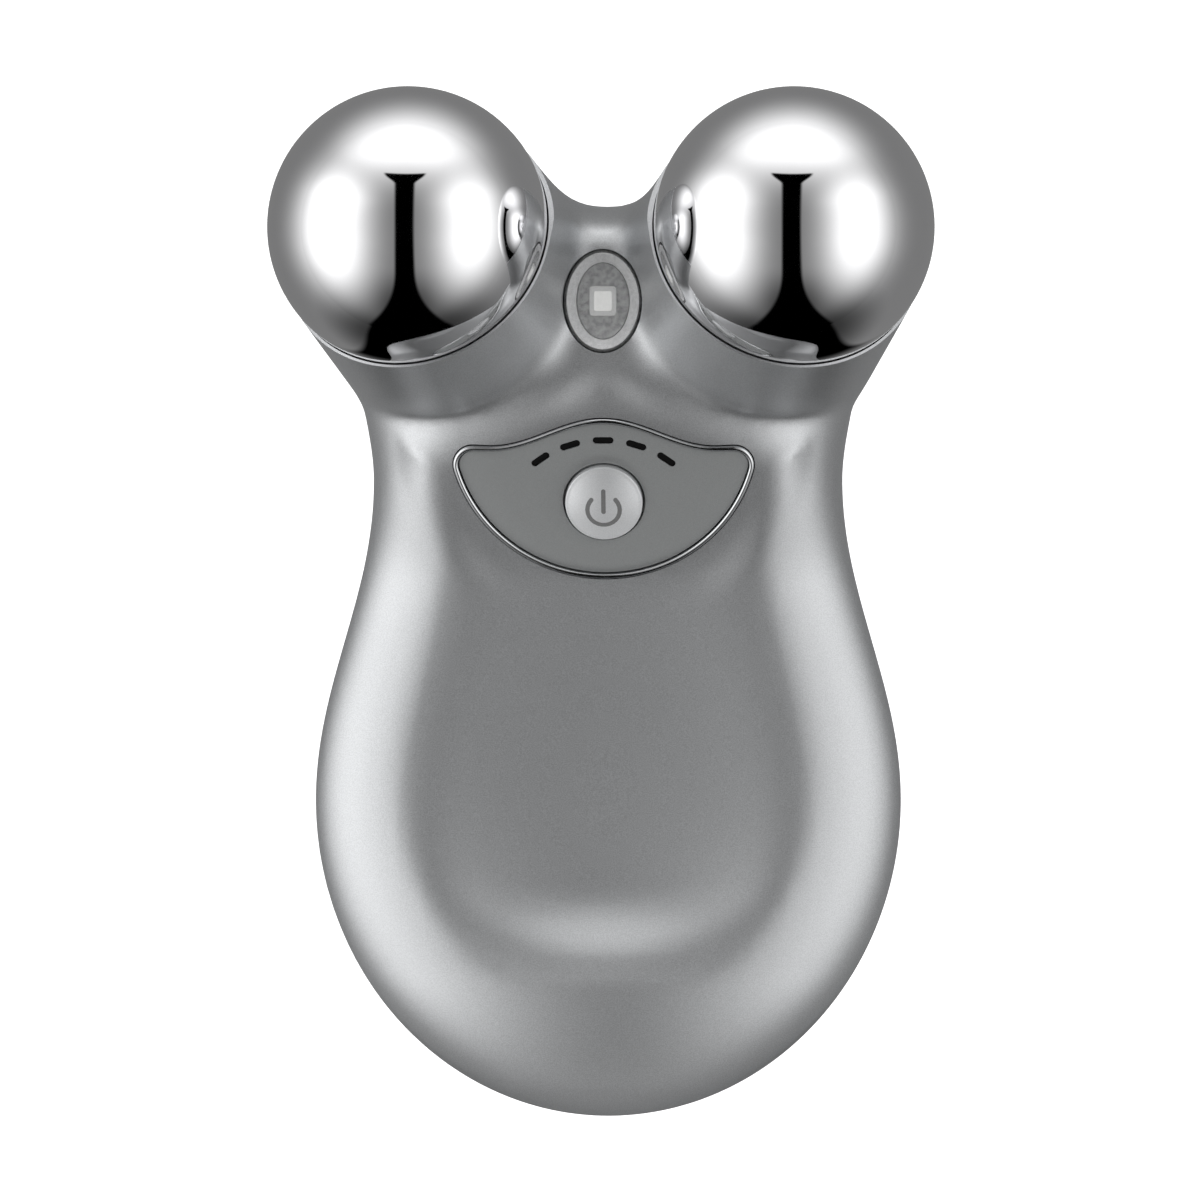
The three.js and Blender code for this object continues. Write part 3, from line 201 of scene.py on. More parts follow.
def skinned(distance_at, low, high, step):
    """Vertices and quads of the surface on which distance_at is 0, by surface nets: one vertex
    per cell that the surface passes through, drawn onto it along the slope."""
    axes = [np.arange(a, b + step, step) for a, b in zip(low, high)]
    field = distance_at(np.stack(np.meshgrid(*axes, indexing="ij"), axis=-1))
    field = np.where(np.abs(field) < 1e-6, 1e-6, field)
    cells = tuple(n - 1 for n in field.shape)
    total, count = np.zeros(cells + (3,)), np.zeros(cells)
    quads = []
    base = np.stack(np.meshgrid(*[np.arange(n) for n in field.shape], indexing="ij"), axis=-1)
    for axis in range(3):
        here = [slice(None)] * 3
        there = [slice(None)] * 3
        here[axis], there[axis] = slice(None, -1), slice(1, None)
        f0, f1 = field[tuple(here)], field[tuple(there)]
        crossed = (f0 > 0) != (f1 > 0)
        place = base[tuple(here)].astype(float)
        place[..., axis] += np.where(crossed, f0 / np.where(crossed, f0 - f1, 1), 0)
        b, c = [k for k in range(3) if k != axis]
        for db in (0, 1):
            for dc in (0, 1):
                part = [slice(None)] * 3
                part[b] = slice(db, db + cells[b])
                part[c] = slice(dc, dc + cells[c])
                part = tuple(part)
                total += np.where(crossed[part][..., None], place[part], 0)
                count += crossed[part]
        found = np.argwhere(crossed)
        found = found[(found[:, b] > 0) & (found[:, c] > 0)]
        rising = f1[tuple(found.T)] > 0
        corners = np.repeat(found[:, None], 4, axis=1)
        corners[:, :, b] -= [1, 0, 0, 1]
        corners[:, :, c] -= [1, 1, 0, 0]
        turned = rising if axis != 1 else ~rising
        corners = np.where(turned[:, None, None], corners, corners[:, ::-1])
        quads.append(np.ravel_multi_index(tuple(np.moveaxis(corners, -1, 0)), cells))
    quads = np.concatenate(quads)
    used, quads = np.unique(quads, return_inverse=True)
    middle = total.reshape(-1, 3)[used] / np.maximum(count.reshape(-1)[used], 1)[:, None]
    points = np.array(low) + middle * step
    for _ in range(4):
        value = distance_at(points)
        slope = np.stack([distance_at(points + n) - value for n in np.eye(3) * NUDGE], axis=-1) / NUDGE
        move = (value / np.maximum((slope ** 2).sum(-1), 0.2))[:, None] * slope
        points = points - np.clip(move, -0.4 * step, 0.4 * step)
    return points, quads.reshape(-1, 4)


def made(name, points, faces):
    """A mesh object in metres from points in millimetres and whole arrays of faces, merged
    where points coincide, with its faces turned outwards and its sharp edges kept."""
    mesh = bpy.data.meshes.new(name)
    mesh.from_pydata((np.reshape(points, (-1, 3)) * MM).tolist(), [], faces.tolist())
    work = bmesh.new()
    work.from_mesh(mesh)
    bmesh.ops.remove_doubles(work, verts=work.verts, dist=1e-7)
    bmesh.ops.dissolve_degenerate(work, edges=work.edges, dist=1e-8)
    bmesh.ops.recalc_face_normals(work, faces=work.faces)
    work.to_mesh(mesh)
    work.free()
    piece = bpy.data.objects.new(name, mesh)
    bpy.context.scene.collection.objects.link(piece)
    return piece


def shaded(piece, degrees=35):
    """Smooth shading, with edges over that angle left sharp."""
    piece.data.polygons.foreach_set("use_smooth", np.ones(len(piece.data.polygons), bool))
    piece.data.set_sharp_from_angle(angle=np.radians(degrees))
    return piece


def carved(piece, *steps):
    """Applies Boolean steps (operation, tool) to a piece, and leaves plain mesh."""
    for operation, tool in steps:
        step = piece.modifiers.new("carve", "BOOLEAN")
        step.operation, step.object, step.solver = operation, tool, "MANIFOLD"
        bpy.context.view_layer.update()
        solved = piece.evaluated_get(bpy.context.evaluated_depsgraph_get())
        result = bpy.data.meshes.new_from_object(solved)
        piece.modifiers.clear()
        result.name, piece.data = piece.name, result
    return piece


def copied(piece, name):
    """Another object, with its own copy of the piece's mesh."""
    other = bpy.data.objects.new(name, piece.data.copy())
    bpy.context.scene.collection.objects.link(other)
    return other


def rings(name, grid, wrap=True):
    """A closed mesh from a grid [around, along, xyz]: around closes on itself, and along closes
    too, or ends in points."""
    n, m = grid.shape[:2]
    i, j = np.meshgrid(np.arange(n), np.arange(m if wrap else m - 1), indexing="ij")
    right, up = (i + 1) % n, (j + 1) % m
    faces = np.stack([i * m + j, right * m + j, right * m + up, i * m + up], axis=-1)
    return made(name, grid, faces.reshape(-1, 4))


def frame_of(axis):
    """Two directions square to an axis, and the axis."""
    axis = np.array(axis) / np.linalg.norm(axis)
    first = np.cross([0.0, 1.0, 0.0] if abs(axis[1]) < 0.9 else [0.0, 0.0, 1.0], axis)
    first = first / np.linalg.norm(first)
    return np.stack([first, np.cross(axis, first), axis])


def turned(name, at, axis, profile, sides):
    """A profile of (radius, height) turned round an axis through a point."""
    angle = np.linspace(0, 2 * np.pi, sides, endpoint=False)[:, None]
    radius, height = np.array(profile, float).T
    local = np.stack([radius * np.cos(angle), radius * np.sin(angle), height + 0 * angle], axis=-1)
    return rings(name, np.array(at) + local @ frame_of(axis), False)


def block(name, low, high):
    """A box with its corners at low and high, for carving."""
    corner = np.array(np.meshgrid([0, 1], [0, 1], [0, 1], indexing="ij")).reshape(3, -1).T
    faces = np.array([[0, 1, 3, 2], [4, 6, 7, 5], [0, 4, 5, 1], [2, 3, 7, 6], [0, 2, 6, 4], [1, 5, 7, 3]])
    return made(name, np.array(low) + corner * (np.array(high) - low), faces)


def hollow_distance(points):
    """The room inside: the housing's skin drawn in by the wall, without the bowls that the
    spheres sit in."""
    wall, bowl_radius = 2.0, 17.0
    bowls = [bowl_radius - np.linalg.norm(points - SPHERE_AT[side], axis=-1) for side in SPHERE_AT]
    return -filleted(-housing_distance(points) - wall, -np.maximum(*bowls), 4)


skin = made("skin", *skinned(housing_distance, (-36.3, -56.3, -1.8), (36.3, 57, 42), 0.75))
room = made("room", *skinned(hollow_distance, (-34.7, -54.6, 0.4), (34.7, 56, 40), 1.7))

SCREWS_AT = [(21.5, -28.0), (-21.5, -28.0), (17.6, 14.0), (-17.6, 14.0)]
front = copied(skin, "front_housing")
rear = copied(skin, "rear_housing")
tools = {
    "above": block("above", (-60, -60, PARTING_Z + PARTING_GAP / 2), (60, 60, 60)),
    "below": block("below", (-60, -60, -5), (60, 60, PARTING_Z - PARTING_GAP / 2)),
}
angle = np.linspace(-np.pi / 2, -np.arcsin(CUP_LIP_DEPTH / SEAT_RADIUS), 40)
seat = [(SEAT_RADIUS * np.cos(a), SEAT_RADIUS * np.sin(a)) for a in angle]
seat = [(0, -SEAT_RADIUS), *seat[1:], (23, -CUP_LIP_DEPTH), (23, 9), (0, 9)]
for side in SPHERE_AT:
    tools[side] = turned(side, SPHERE_AT[side], CUP_AXIS[side], seat, 160)


def panel_outline(offset):
    """The panel's outline, as points [around, 2] in its own plane, each moved out by offset:
    a round tip, a swelling over the light bars, the other tip, and one wide arc below."""
    offset = np.asarray(offset, float)[..., None]
    tip_x, tip_y, tip_radius, turn = 13.6, 3.678, 2.1, np.radians(15.31)
    top_v, half_swelling = 8.95, 12
    right = np.linspace(-turn, np.pi / 2, 16)
    left = np.pi - right[::-1]
    below = np.linspace(np.pi + turn, 2 * np.pi - turn, 82)[1:-1]
    x = np.linspace(half_swelling, -half_swelling, 48)
    shoulder = tip_y + tip_radius + offset
    top = shoulder + (top_v + offset - shoulder) * (1 + np.cos(np.pi * x / half_swelling)) / 2
    tip, arc = tip_radius + offset, PANEL_ARC_RADIUS + offset
    u = [tip_x + tip * np.cos(right), x + 0 * offset, tip * np.cos(left) - tip_x, arc * np.cos(below)]
    v = [tip_y + tip * np.sin(right), top, tip_y + tip * np.sin(left), PANEL_ARC_V + arc * np.sin(below)]
    return np.stack([np.concatenate(u, -1), np.concatenate(v, -1)], -1)


def on_panel(u, v, w):
    """Points in the panel's own axes, brought to where the panel is."""
    c, s = np.cos(PANEL_TILT), np.sin(PANEL_TILT)
    u, v, w = np.broadcast_arrays(u, v, w)
    w = w - PANEL_BEND * u ** 2
    return np.stack([u, PANEL_AT[1] + c * v - s * w, PANEL_AT[2] + s * v + c * w], -1)


def outlined(name, loops, place=on_panel, outline=panel_outline):
    """A ring of the outline's shape, whose section is a list of (offset, height) loops."""
    offset, height = np.array(loops, float).T
    flat = outline(offset)
    grid = place(flat[..., 0], flat[..., 1], height[:, None])
    return rings(name, np.swapaxes(grid, 0, 1))


def filled(name, loops, place=on_panel, outline=panel_outline):
    """The same, closed over its middle: loops are (share of the outline, offset, height)."""
    share, offset, height = np.array(loops, float).T
    flat = outline(offset) * share[:, None, None]
    grid = place(flat[..., 0], flat[..., 1], height[:, None])
    return rings(name, np.swapaxes(grid, 0, 1), False)


def oval(offset):
    """The lamp window's outline, an ellipse, moved out by offset."""
    angle = np.linspace(0, 2 * np.pi, 96, endpoint=False)
    half = LAMP_HALF + np.asarray(offset, float)[..., None]
    return np.stack([half[..., :1] * np.cos(angle), half[..., 1:] * np.sin(angle)], -1)


def on_lamp(u, v, w):
    """Points round the lamp window's middle, brought to where the window is."""
    u, v, w = np.broadcast_arrays(u, v, w)
    return np.stack([u, LAMP_AT[1] + v, LAMP_AT[2] + w], -1)


tools["panel"] = filled("panel", [(0, 0.16, -1.7), (1, 0.16, -1.7), (1, 0.16, 5), (0, 0.16, 5)])
tools["lamp"] = filled("lamp", [(0, 0.15, -5), (1, 0.15, -5), (1, 0.15, 5), (0, 0.15, 5)], on_lamp, oval)
tools["socket"] = turned("socket", (0, -60, 8.4), (0, 1, 0), [(0, 0), (2.8, 0), (2.8, 16), (0, 16)], 48)
carved(front, ("INTERSECT", tools["above"]), ("DIFFERENCE", room), ("DIFFERENCE", tools["left"]),
       ("DIFFERENCE", tools["right"]), ("DIFFERENCE", tools["panel"]), ("DIFFERENCE", tools["lamp"]))
carved(rear, ("INTERSECT", tools["below"]), ("DIFFERENCE", room), ("DIFFERENCE", tools["socket"]))
plugs = []
for number, (x, y) in enumerate(SCREWS_AT, 1):
    recess = turned("recess", (x, y, 0), (0, 0, 1), [(0, -3), (2.45, -3), (2.45, 5.2), (0, 5.2)], 64)
    plug = turned(f"plug_{number}", (x, y, 0), (0, 0, 1), [(0, -3), (2.3, -3), (2.3, 5.1), (0, 5.1)], 64)
    carved(rear, ("DIFFERENCE", recess))
    plugs.append(carved(plug, ("INTERSECT", skin)))
    bpy.data.objects.remove(recess)
for tool in [*tools.values(), skin, room]:
    bpy.data.objects.remove(tool)
for piece, nodes in ((shaded(front), ["front_cover"]), (shaded(rear), ["rear_cover"])):
    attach(piece, "housing")
    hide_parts(*nodes)
for number, piece in enumerate(plugs, 1):
    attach(shaded(piece), "housing")
    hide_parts(f"screw_plug_{number}")


class Link:
    """A node's output socket. Arithmetic on it adds Math nodes to its tree."""

    def __init__(self, tree, socket):
        self.tree, self.socket = tree, socket

    def add(self, kind, settings=(), out=0, **values):
        """Adds a node: its settings first, then the values or links of its sockets."""
        node = self.tree.nodes.new(kind)
        for key, value in dict(settings).items():
            setattr(node, key, value)
        for key, value in values.items():
            key = int(key[1:]) if key[0] == "_" else key.replace("_", " ")
            if isinstance(value, Link):
                self.tree.links.new(value.socket, node.inputs[key])
            else:
                node.inputs[key].default_value = value
        return Link(self.tree, node.outputs[out]) if node.outputs else node

    def math(self, operation, a, b=0.0):
        return self.add("ShaderNodeMath", {"operation": operation}, _0=a, _1=b)

    def __add__(self, other): return self.math("ADD", self, other)
    def __radd__(self, other): return self.math("ADD", other, self)
    def __sub__(self, other): return self.math("SUBTRACT", self, other)
    def __rsub__(self, other): return self.math("SUBTRACT", other, self)
    def __mul__(self, other): return self.math("MULTIPLY", self, other)
    def __rmul__(self, other): return self.math("MULTIPLY", other, self)
    def __truediv__(self, other): return self.math("DIVIDE", self, other)
    def __pow__(self, other): return self.math("POWER", self, other)

    def between(self, start, end):
        """0 before start, 1 after end, smooth in between."""
        return self.add("ShaderNodeMapRange", {"interpolation_type": "SMOOTHSTEP"}, Value=self,
                        From_Min=start, From_Max=end)


def finish(name, color, roughness, metallic=0.0, **fixed):
    """A material with its Principled shader, and a Link to start its nodes from."""
    material = bpy.data.materials.new(name)
    material.use_nodes = True
    shader = material.node_tree.nodes["Principled BSDF"]
    shader.inputs["Base Color"].default_value = (*color, 1)
    shader.inputs["Roughness"].default_value = roughness
    shader.inputs["Metallic"].default_value = metallic
    for key, value in fixed.items():
        shader.inputs[key.replace("_", " ")].default_value = value
    material.diffuse_color = (*color, 1)
    return material, shader, Link(material.node_tree, None)


def grained(name, color, roughness, metallic=0.0, grain=9000.0, depth=0.06, rough_by=0.1,
            bump=0.1, **fixed):
    """A finish whose grain is fine noise: it varies the colour by depth and the roughness by
    rough_by, and raises a slight bump."""
    material, shader, start = finish(name, color, roughness, metallic, **fixed)
    place = start.add("ShaderNodeTexCoord", out="Object")
    noise = start.add("ShaderNodeTexNoise", Vector=place, Scale=grain, Detail=2.0)
    cloud = start.add("ShaderNodeTexNoise", Vector=place, Scale=45.0, Detail=3.0)
    fleck = noise.between(0.3, 0.7)
    light = tuple(min(1, c * (1 + depth)) for c in color) + (1,)
    dark = tuple(c * (1 - depth) for c in color) + (1,)
    mixed = start.add("ShaderNodeMix", {"data_type": "RGBA"}, out=2, Factor=fleck, _6=dark, _7=light)
    tree = material.node_tree
    tree.links.new(mixed.socket, shader.inputs["Base Color"])
    rough = (roughness - rough_by / 2) + rough_by * (0.6 * fleck + 0.4 * cloud)
    tree.links.new(rough.socket, shader.inputs["Roughness"])
    if bump:
        raised = start.add("ShaderNodeBump", Strength=bump, Distance=0.00003, Height=noise)
        tree.links.new(raised.socket, shader.inputs["Normal"])
    return material


def coated(material, *pieces):
    """Gives each piece that material alone."""
    for piece in pieces:
        piece.data.materials.clear()
        piece.data.materials.append(material)


paint = grained("satin silver paint", (0.58, 0.59, 0.60), 0.39, 0.85, depth=0.12, bump=0.22)
coated(paint, front, rear, *plugs)

# Each treatment sphere is drawn from steel and plated to a mirror. It sits in its cup up to the
# cup's lip, and shows the studio round it.
chrome = grained("mirror plating", (0.88, 0.88, 0.89), 0.04, 1.0, grain=300.0, depth=0.01,
                 rough_by=0.03, bump=0)
for side in SPHERE_AT:
    angle = np.radians(np.linspace(-90, 90, 81))
    profile = np.stack([SPHERE_RADIUS * np.cos(angle), SPHERE_RADIUS * np.sin(angle)], -1)
    profile[[0, -1], 0] = 0
    sphere = turned(f"{side}_treatment_sphere", SPHERE_AT[side], CUP_AXIS[side], profile, 144)
    shaded(sphere, 60)
    coated(chrome, sphere)
    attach(sphere, "housing")
    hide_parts(f"{side}_sphere")

# The control panel is a flat satin plate in a thin plated bezel. The bezel is a moulded ring
# with a rolled top, the plate lies a little lower, and five slots in it let the light bars out.
trim = grained("bright trim", (0.75, 0.76, 0.77), 0.14, 1.0, grain=2500.0, depth=0.02,
               rough_by=0.05, bump=0)
roll = np.linspace(0, np.pi, 9)
top_roll = zip(-0.19 + 0.24 * np.cos(roll), 0.03 + 0.2 * np.sin(roll))
bezel_section = [(0.05, -1.4), *top_roll, (-0.43, -1.4)]
bezel = shaded(outlined("plated_bezel", bezel_section), 50)
coated(trim, bezel)
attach(bezel, "housing")
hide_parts("panel_bezel")

BUTTON_AT, HOLE_RADIUS = np.array([0.0, -0.33]), 4.3


def plate_rings(share, height):
    """Loops between the button's hole, at share 0, and the plate's outline, at share 1."""
    edge = panel_outline(np.array([-0.55]))[0]
    away = edge - BUTTON_AT
    hole = BUTTON_AT + HOLE_RADIUS * away / np.linalg.norm(away, axis=-1, keepdims=True)
    share, height = np.asarray(share)[:, None, None], np.asarray(height)[:, None]
    flat = hole + (edge - hole) * share
    return rings("face_plate", np.swapaxes(on_panel(flat[..., 0], flat[..., 1], height), 0, 1))


plate = plate_rings([0, 0, 0.004, 0.015, 0.3, 0.6, 0.98, 0.995, 1, 1],
                    [-1.4, -0.32, -0.23, -0.2, -0.2, -0.2, -0.2, -0.23, -0.32, -1.4])


def bar(name, length, width, heights, place, bend=0.0):
    """A round-ended bar whose top is slightly domed. Its loops run from the middle of its
    underside to the middle of its top, and bend is the radius that it is bent to."""
    reach, quarter = (length - width) / 2, np.linspace(-np.pi / 2, np.pi / 2, 14)
    side = np.linspace(reach, -reach, 20)[1:-1]
    angle = np.concatenate([quarter, 0 * side + np.pi / 2, quarter + np.pi, 0 * side - np.pi / 2])
    middle = np.concatenate([0 * quarter + reach, side, 0 * quarter - reach, -side])
    low, high, crown = heights
    share = np.array([0, 1, 1, 0.94, 0.8, 0.4, 0])
    rise = np.array([0.0, 0.5, 0.8, 1.0, 1.0])
    height = np.concatenate([[low, low], high + rise * crown])
    t = middle + share[:, None] * width / 2 * np.cos(angle)
    n = share[:, None] * width / 2 * np.sin(angle)
    if bend:
        t, n = (bend + n) * np.sin(t / bend), (bend + n) * np.cos(t / bend)
    return rings(name, np.swapaxes(place(t, n, height[:, None]), 0, 1), False)


def at_bar(number):
    """Places a bar on the arc of five, number 0 to 4 from the left."""
    arc_radius, arc_v, step = 11.16, -4.63, 18.1
    turn = np.radians((number - 2) * step)

    def place(t, n, w):
        r = n + arc_radius
        u, v = t * np.cos(turn) + r * np.sin(turn), r * np.cos(turn) - t * np.sin(turn)
        return on_panel(u, v + arc_v, w)
    return place


SLOT_SIZE, BAR_SIZE = (2.20, 0.74), (2.12, 0.66)
slots = [bar(f"slot_{i}", *SLOT_SIZE, (-2, 1, 0), at_bar(i)) for i in range(5)]
carved(plate, *[("DIFFERENCE", slot) for slot in slots])
for slot in slots:
    bpy.data.objects.remove(slot)
satin = grained("satin grey plate", (0.36, 0.37, 0.37), 0.42, 0.4, grain=14000.0, depth=0.1,
                rough_by=0.08, bump=0.12)
coated(satin, shaded(plate, 40))
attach(plate, "housing")
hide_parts("panel_plate")

# The light bars are one smoked moulding behind the plate. Its five bars stand in the slots,
# almost flush, and look black while the device is off.
smoked = grained("smoked acrylic", (0.003, 0.003, 0.003), 0.5, grain=2500.0, depth=0.2,
                 rough_by=0.06, bump=0, Specular_IOR_Level=0.15)
bars = [bar(f"light_bar_{i + 1}", *BAR_SIZE, (-1.6, -0.26, 0.03), at_bar(i)) for i in range(5)]
for piece in bars:
    coated(smoked, shaded(piece, 50))
    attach(piece, "housing")
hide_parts("light_guide")

# The power button is a turned-looking cap with a shallow dome and a soft edge, in light satin.
# A hidden flange keeps it in, and the power symbol is pad printed on it.
CAP_RADIUS, CAP_RISE, CAP_EDGE, CAP_ROUND = 4.05, 1.3, 0.42, 0.25
DOME_RADIUS = CAP_RADIUS - CAP_ROUND
BALL = (DOME_RADIUS ** 2 + (CAP_RISE - CAP_EDGE) ** 2) / 2 / (CAP_RISE - CAP_EDGE)


def cap_height(radius):
    """The dome's height over the panel's plane: a shallow ball."""
    return CAP_RISE - BALL + np.sqrt(BALL ** 2 - radius ** 2)


edge = np.linspace(0, np.pi / 2, 6)
top = np.linspace(DOME_RADIUS, 0, 20)
cap_section = [(0, -3.9), (1.5, -3.9), (1.5, -2.3), (4.9, -2.3), (4.9, -1.72), (CAP_RADIUS, -1.72),
               *zip(DOME_RADIUS + CAP_ROUND * np.cos(edge), CAP_EDGE - 0.2 + 0.2 * np.sin(edge)),
               *zip(top[1:], cap_height(top[1:]))]
normal = on_panel(0, 0, 1) - on_panel(0, 0, 0)
cap = shaded(turned("power_button_cap", on_panel(0, BUTTON_AT[1], 0), normal, cap_section, 120), 40)
pearl = grained("light satin cap", (0.72, 0.73, 0.74), 0.34, 0.35, grain=12000.0, depth=0.07,
                rough_by=0.08)
coated(pearl, cap)
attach(cap, "button")
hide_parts("power_button")
ink = grained("grey ink", (0.17, 0.17, 0.17), 0.5, grain=9000.0, depth=0.08, rough_by=0.08, bump=0)


MARK_WIDTH, MARK_HEIGHTS, MARK_DROP = 0.46, (-0.05, 0.012, 0), 0.42


def on_cap(t, n, w):
    """Points round the symbol's middle, each w over the cap's dome."""
    u, v = t, n + BUTTON_AT[1] - MARK_DROP
    height = cap_height(np.hypot(u, v - BUTTON_AT[1]))
    return on_panel(u, v, height + w)


def ring_mark(t, n, w):
    """The same, turned half round, so that the ring's gap is at the top."""
    return on_cap(-t, -n, w)


def bar_mark(t, n, w):
    """The same, turned upright and moved up into the ring's gap."""
    return on_cap(n, t + 0.95, w)


mark_ring = bar("power_mark_ring", 8.3, MARK_WIDTH, MARK_HEIGHTS, ring_mark, bend=1.7)
mark_bar = bar("power_mark_bar", 2.7, MARK_WIDTH, MARK_HEIGHTS, bar_mark)
for mark in (mark_ring, mark_bar):
    coated(ink, shaded(mark, 60))
    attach(mark, "button")

# The lamp window is a clear moulded cap in an oval well of the bridge. Its rim is flat, its
# middle stands up as a low bubble, and a square white chip shows behind it on a small board.
# The chip's face has a faint painted glow, though the LED is off.
clear = grained("clear moulding", (0.93, 0.94, 0.95), 0.05, grain=1500.0, depth=0.02,
                rough_by=0.03, bump=0, Alpha=0.12, IOR=1.49)
LENS_SKIRT = [(0, 0, -0.4), (1, -0.2, -0.4), (1, -0.2, -3.0), (1, 0, -3.0), (1, 0, -0.1)]
LENS_FLANGE = [(1, -0.1, 0.0), (1, -1.0, 0.03), (1, -1.08, -0.1), (1, -1.2, -0.1)]
LENS_BUBBLE = [(1, -1.35, 0.05), (1, -1.9, 0.24), (0.5, -1.3, 0.38), (0, 0, 0.44)]
lens = filled("clear_window", LENS_SKIRT + LENS_FLANGE + LENS_BUBBLE, on_lamp, oval)
shaded(lens)
coated(clear, lens)
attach(lens, "housing")
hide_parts("lamp_lens")


def tile(name, half_x, half_y, low, high):
    """A flat block under the window, from low to high over the rim's plane. It has rounded
    corners, from a superellipse of power 9, and a slightly rolled top edge."""
    angle = np.linspace(0, 2 * np.pi, 64, endpoint=False)
    x, y = (np.sign(wave) * np.abs(wave) ** (2 / 9) for wave in (np.cos(angle), np.sin(angle)))
    share = np.array([0, 1, 1, 0.97, 0.9, 0])[:, None]
    height = np.array([low, low, high - 0.06, high - 0.01, high, high])[:, None]
    grid = on_lamp(share * half_x * x, share * half_y * y, height)
    return rings(name, np.swapaxes(grid, 0, 1), False)


reflector = grained("satin reflector", (0.92, 0.92, 0.92), 0.5, 0.3, grain=2600.0, depth=0.08)
cone = [(-0.24, -3.2), (-0.24, -0.5), (-0.3, -0.46), (-1.15, -1.0), (-1.25, -1.1), (-1.25, -3.2)]
funnel = shaded(outlined("lamp_reflector", cone, on_lamp, oval), 40)
coated(reflector, funnel)
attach(funnel, "housing")
frosted = grained("frosted grey board", (0.42, 0.42, 0.42), 0.5, 0.3, grain=1800.0, depth=0.35,
                  rough_by=0.2, bump=0.9)
BASE_TOP = -1.35
BASE = [(0, 0, -4.2), (1, 0.12, -4.2), (1, 0.12, -3.3), (1, -1.3, -3.3),
        (1, -1.35, BASE_TOP), (0, 0, BASE_TOP)]
board = shaded(filled("lamp_base", BASE, on_lamp, oval), 40)
coated(frosted, board)
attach(board, "housing")
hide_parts("lamp_board")
phosphor = grained("white chip", (0.94, 0.94, 0.93), 0.45, grain=4000.0, depth=0.04, rough_by=0.05)
chip = tile("lamp_chip", 1.4, 1.55, BASE_TOP - 0.25, -0.9)
lid = tile("lamp_chip_face", 0.95, 1.05, -1.3, -0.86)
# The chip's face carries a faint painted glow: a little white emission, though the LED is off, so that it
# shows bright behind the window.
pale = grained("phosphor with painted glow", (0.96, 0.96, 0.94), 0.35, grain=3000.0, depth=0.03,
               rough_by=0.05, bump=0, Emission_Color=(1, 1, 0.97, 1), Emission_Strength=0.25)
for piece, material in ((chip, phosphor), (lid, pale)):
    coated(material, shaded(piece, 40))
    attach(piece, "housing")
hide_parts("lamp_led")

# The parts inside carry their own plain finishes: green boards, steel screws, brass tabs,
# black moulded components, a sleeved cell on its foam pad, and red leads.
inside = {
    "board_green": grained("green solder mask", (0.03, 0.17, 0.08), 0.4, grain=3000.0),
    "steel": grained("plain steel", (0.50, 0.51, 0.52), 0.3, 1.0, grain=5000.0),
    "brass_plate": grained("brass", (0.62, 0.46, 0.20), 0.3, 1.0, grain=4000.0),
    "black_plastic": grained("black moulding", (0.02, 0.02, 0.021), 0.45, grain=6000.0, depth=0.3),
    "white_plastic": grained("white moulding", (0.74, 0.73, 0.70), 0.45, grain=5000.0),
    "cell_foil": grained("blue cell sleeve", (0.05, 0.14, 0.36), 0.35, grain=1500.0, depth=0.12),
    "foam": grained("grey foam", (0.26, 0.27, 0.28), 0.9, grain=2500.0, depth=0.3, bump=0.8),
    "red_lead": grained("red insulation", (0.38, 0.03, 0.02), 0.4, grain=2500.0),
    "black_rubber": grained("black rubber", (0.016, 0.016, 0.016), 0.7, grain=5000.0, depth=0.3),
    "led_chip": phosphor, "dark_window": smoked, "silver_paint": paint, "mirror_chrome": chrome,
    "trim_chrome": trim, "satin_panel": satin, "satin_button": pearl, "clear_plastic": clear,
}
for part in frame["record"]["subparts"]:
    node = frame["nodes"][part["node"]]
    if not node.material_slots:
        node.data.materials.append(None)
    for slot in node.material_slots:
        slot.material = inside[part["material_slot"]]

# The studio is a grey tent of soft light with bright middles at the left, the right and the top,
# and a black slit in front, for the camera, that widens downwards. Its pale floor is well below
# the object, white to the camera, and shows the tent's light to whatever mirrors it.


def tent(toward):
    """The light that comes from a direction, given as a Link to a vector."""
    parts = toward.add("ShaderNodeSeparateXYZ", Vector=toward)
    x, y, z = (Link(toward.tree, parts.socket.node.outputs[k]) for k in "XYZ")

    def panel(turn, sharpness, strength):
        """A tall soft panel, turned so many degrees from the camera round the Y axis."""
        turn = np.radians(turn)
        across = (np.sin(turn) * x + np.cos(turn) * z) / (1.001 - y * y) ** 0.5
        tall = y.between(-1.05, -0.12) * (1.0 - y.between(0.3, 0.75))
        return strength * toward.math("MAXIMUM", across, 0.0) ** sharpness * tall

    sides = panel(-64.0, 7.0, 1.75) + panel(58.0, 8.0, 1.4)
    overhead = (0.96 * y + 0.28 * z) / (1.001 - 0.7 * x * x) ** 0.5
    top = 1.35 * toward.math("MAXIMUM", overhead, 0.0) ** 7.0
    shade = 0.205 * (1.0 - 0.85 * (0.0 - y).between(0.5, 0.95))
    half = 0.11 + 0.26 * (0.8 - z).between(0.0, 1.1) + 0.12 * y.between(0.58, 0.69)
    within = 1.0 - (toward.math("ABSOLUTE", x) - half).between(0.0, 0.05)
    low = (0.0 - y).between(0.2, 0.5) * z.between(-0.95, -0.7)
    slit = within * toward.math("MAXIMUM", z.between(-0.1, 0.1), low) * (1.0 - y.between(0.69, 0.71))
    return (shade + sides + top) * (1.0 - slit)


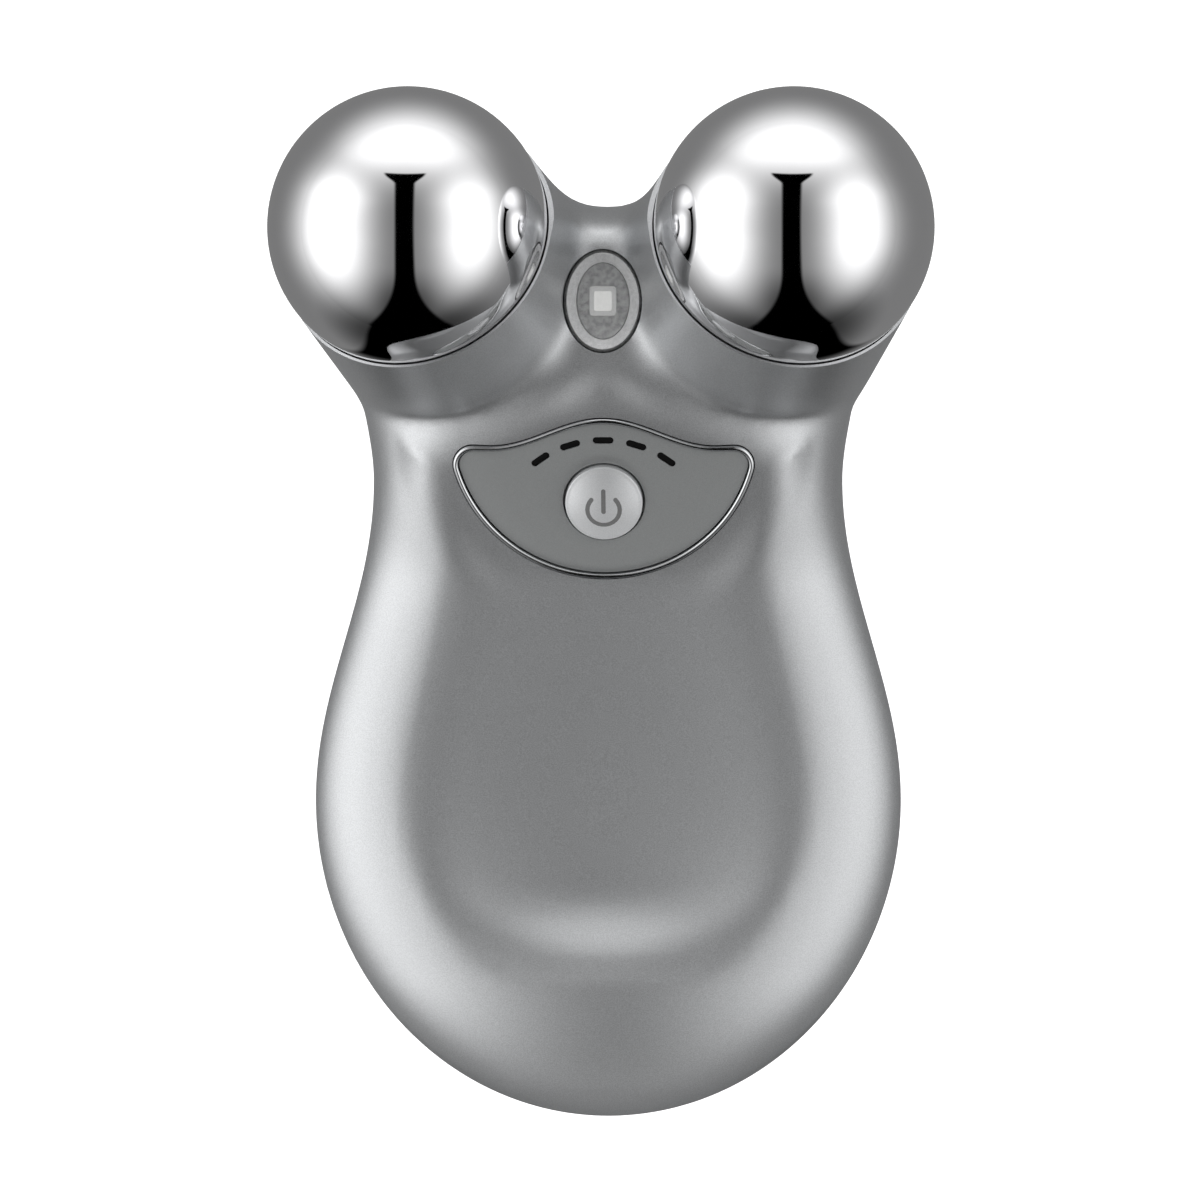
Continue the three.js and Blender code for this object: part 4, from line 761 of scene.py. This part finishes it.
studio = bpy.data.materials.new("pale floor")
studio.use_nodes = True
studio.node_tree.nodes.clear()
start = Link(studio.node_tree, None)
ray = start.add("ShaderNodeLightPath", out="Is Camera Ray")
outputs = ray.socket.node.outputs
mirrored, through = (Link(start.tree, outputs[f"Is {kind} Ray"]) for kind in ("Glossy", "Transmission"))
place = start.add("ShaderNodeTexCoord", out="Object")
away = start.add("ShaderNodeVectorMath", {"operation": "SUBTRACT"}, out="Vector", _0=place,
                 _1=(0, 0.03, 0.02))
away = start.add("ShaderNodeVectorMath", {"operation": "NORMALIZE"}, out="Vector", _0=away)
lit = start.add("ShaderNodeAddShader", _0=start.add("ShaderNodeBsdfDiffuse", Color=(0.8, 0.8, 0.8, 1)),
                _1=start.add("ShaderNodeEmission", Color=(1, 1, 1, 1), Strength=0.8 * ray))
glow = start.add("ShaderNodeEmission", Color=(1, 1, 1, 1), Strength=tent(away))
special = start.math("MINIMUM", mirrored + through, 1.0)
shown = start.add("ShaderNodeMixShader", _0=special, _1=lit, _2=glow)
behind = start.add("ShaderNodeNewGeometry", out="Backfacing")
ended = start.add("ShaderNodeMixShader", _0=behind, _1=shown, _2=start.add("ShaderNodeBsdfTransparent"))
start.add("ShaderNodeOutputMaterial", Surface=ended)
floor_mesh = bpy.data.meshes.new("floor")
FLOOR_HALF, FLOOR_Z = 1.5, -0.12
corners = [(x * FLOOR_HALF, y * FLOOR_HALF, FLOOR_Z) for x, y in ((-1, -1), (1, -1), (1, 1), (-1, 1))]
floor_mesh.from_pydata(corners, [], [(0, 1, 2, 3)])
floor = bpy.data.objects.new("floor", floor_mesh)
floor_mesh.materials.append(studio)
bpy.context.scene.collection.objects.link(floor)

world = bpy.data.worlds.new("studio")
bpy.context.scene.world = world
world.use_nodes = True
world.node_tree.nodes.clear()
start = Link(world.node_tree, None)
ray = start.add("ShaderNodeLightPath", out="Is Camera Ray")
toward = start.add("ShaderNodeTexCoord", out="Generated")
back = start.add("ShaderNodeBackground", Color=(1, 1, 1, 1), Strength=ray + (1.0 - ray) * tent(toward))
start.add("ShaderNodeOutputWorld", Surface=back)

# A low soft lamp just below the picture brightens the matt lower end, and leaves the mirrors alone.
lamp = bpy.data.objects.new("fill", bpy.data.lights.new("fill", "AREA"))
lamp.data.shape, lamp.data.size, lamp.data.size_y = "RECTANGLE", 0.12, 0.04
lamp.data.energy = 0.07
lamp.location, lamp.rotation_euler = (0, -0.1, 0.03), (np.radians(73), 0, 0)
lamp.visible_glossy = lamp.visible_camera = False
bpy.context.scene.collection.objects.link(lamp)

# The camera stands far in front of the face, turned two and a half degrees to the right and
# one degree up, as in the photograph.
camera = bpy.data.objects.new("camera", bpy.data.cameras.new("camera"))
bpy.context.scene.collection.objects.link(camera)
turn, lift, distance = np.radians(2.5), np.radians(1.0), 3.5
PIXELS, MM_PER_PIXEL, SENSOR = 1200, 0.105, 36
AIM = np.array([-0.84, 0.1, 13.3]) * MM
camera.data.lens = SENSOR * distance / (PIXELS * MM_PER_PIXEL * MM)
camera.data.clip_start, camera.data.clip_end = 0.05, 10
towards = np.array([np.sin(turn) * np.cos(lift), np.sin(lift), np.cos(turn) * np.cos(lift)])
camera.location = AIM + distance * towards
camera.rotation_euler = (-lift, turn, 0)
bpy.context.scene.camera = camera
bpy.context.scene.view_settings.view_transform = "Standard"
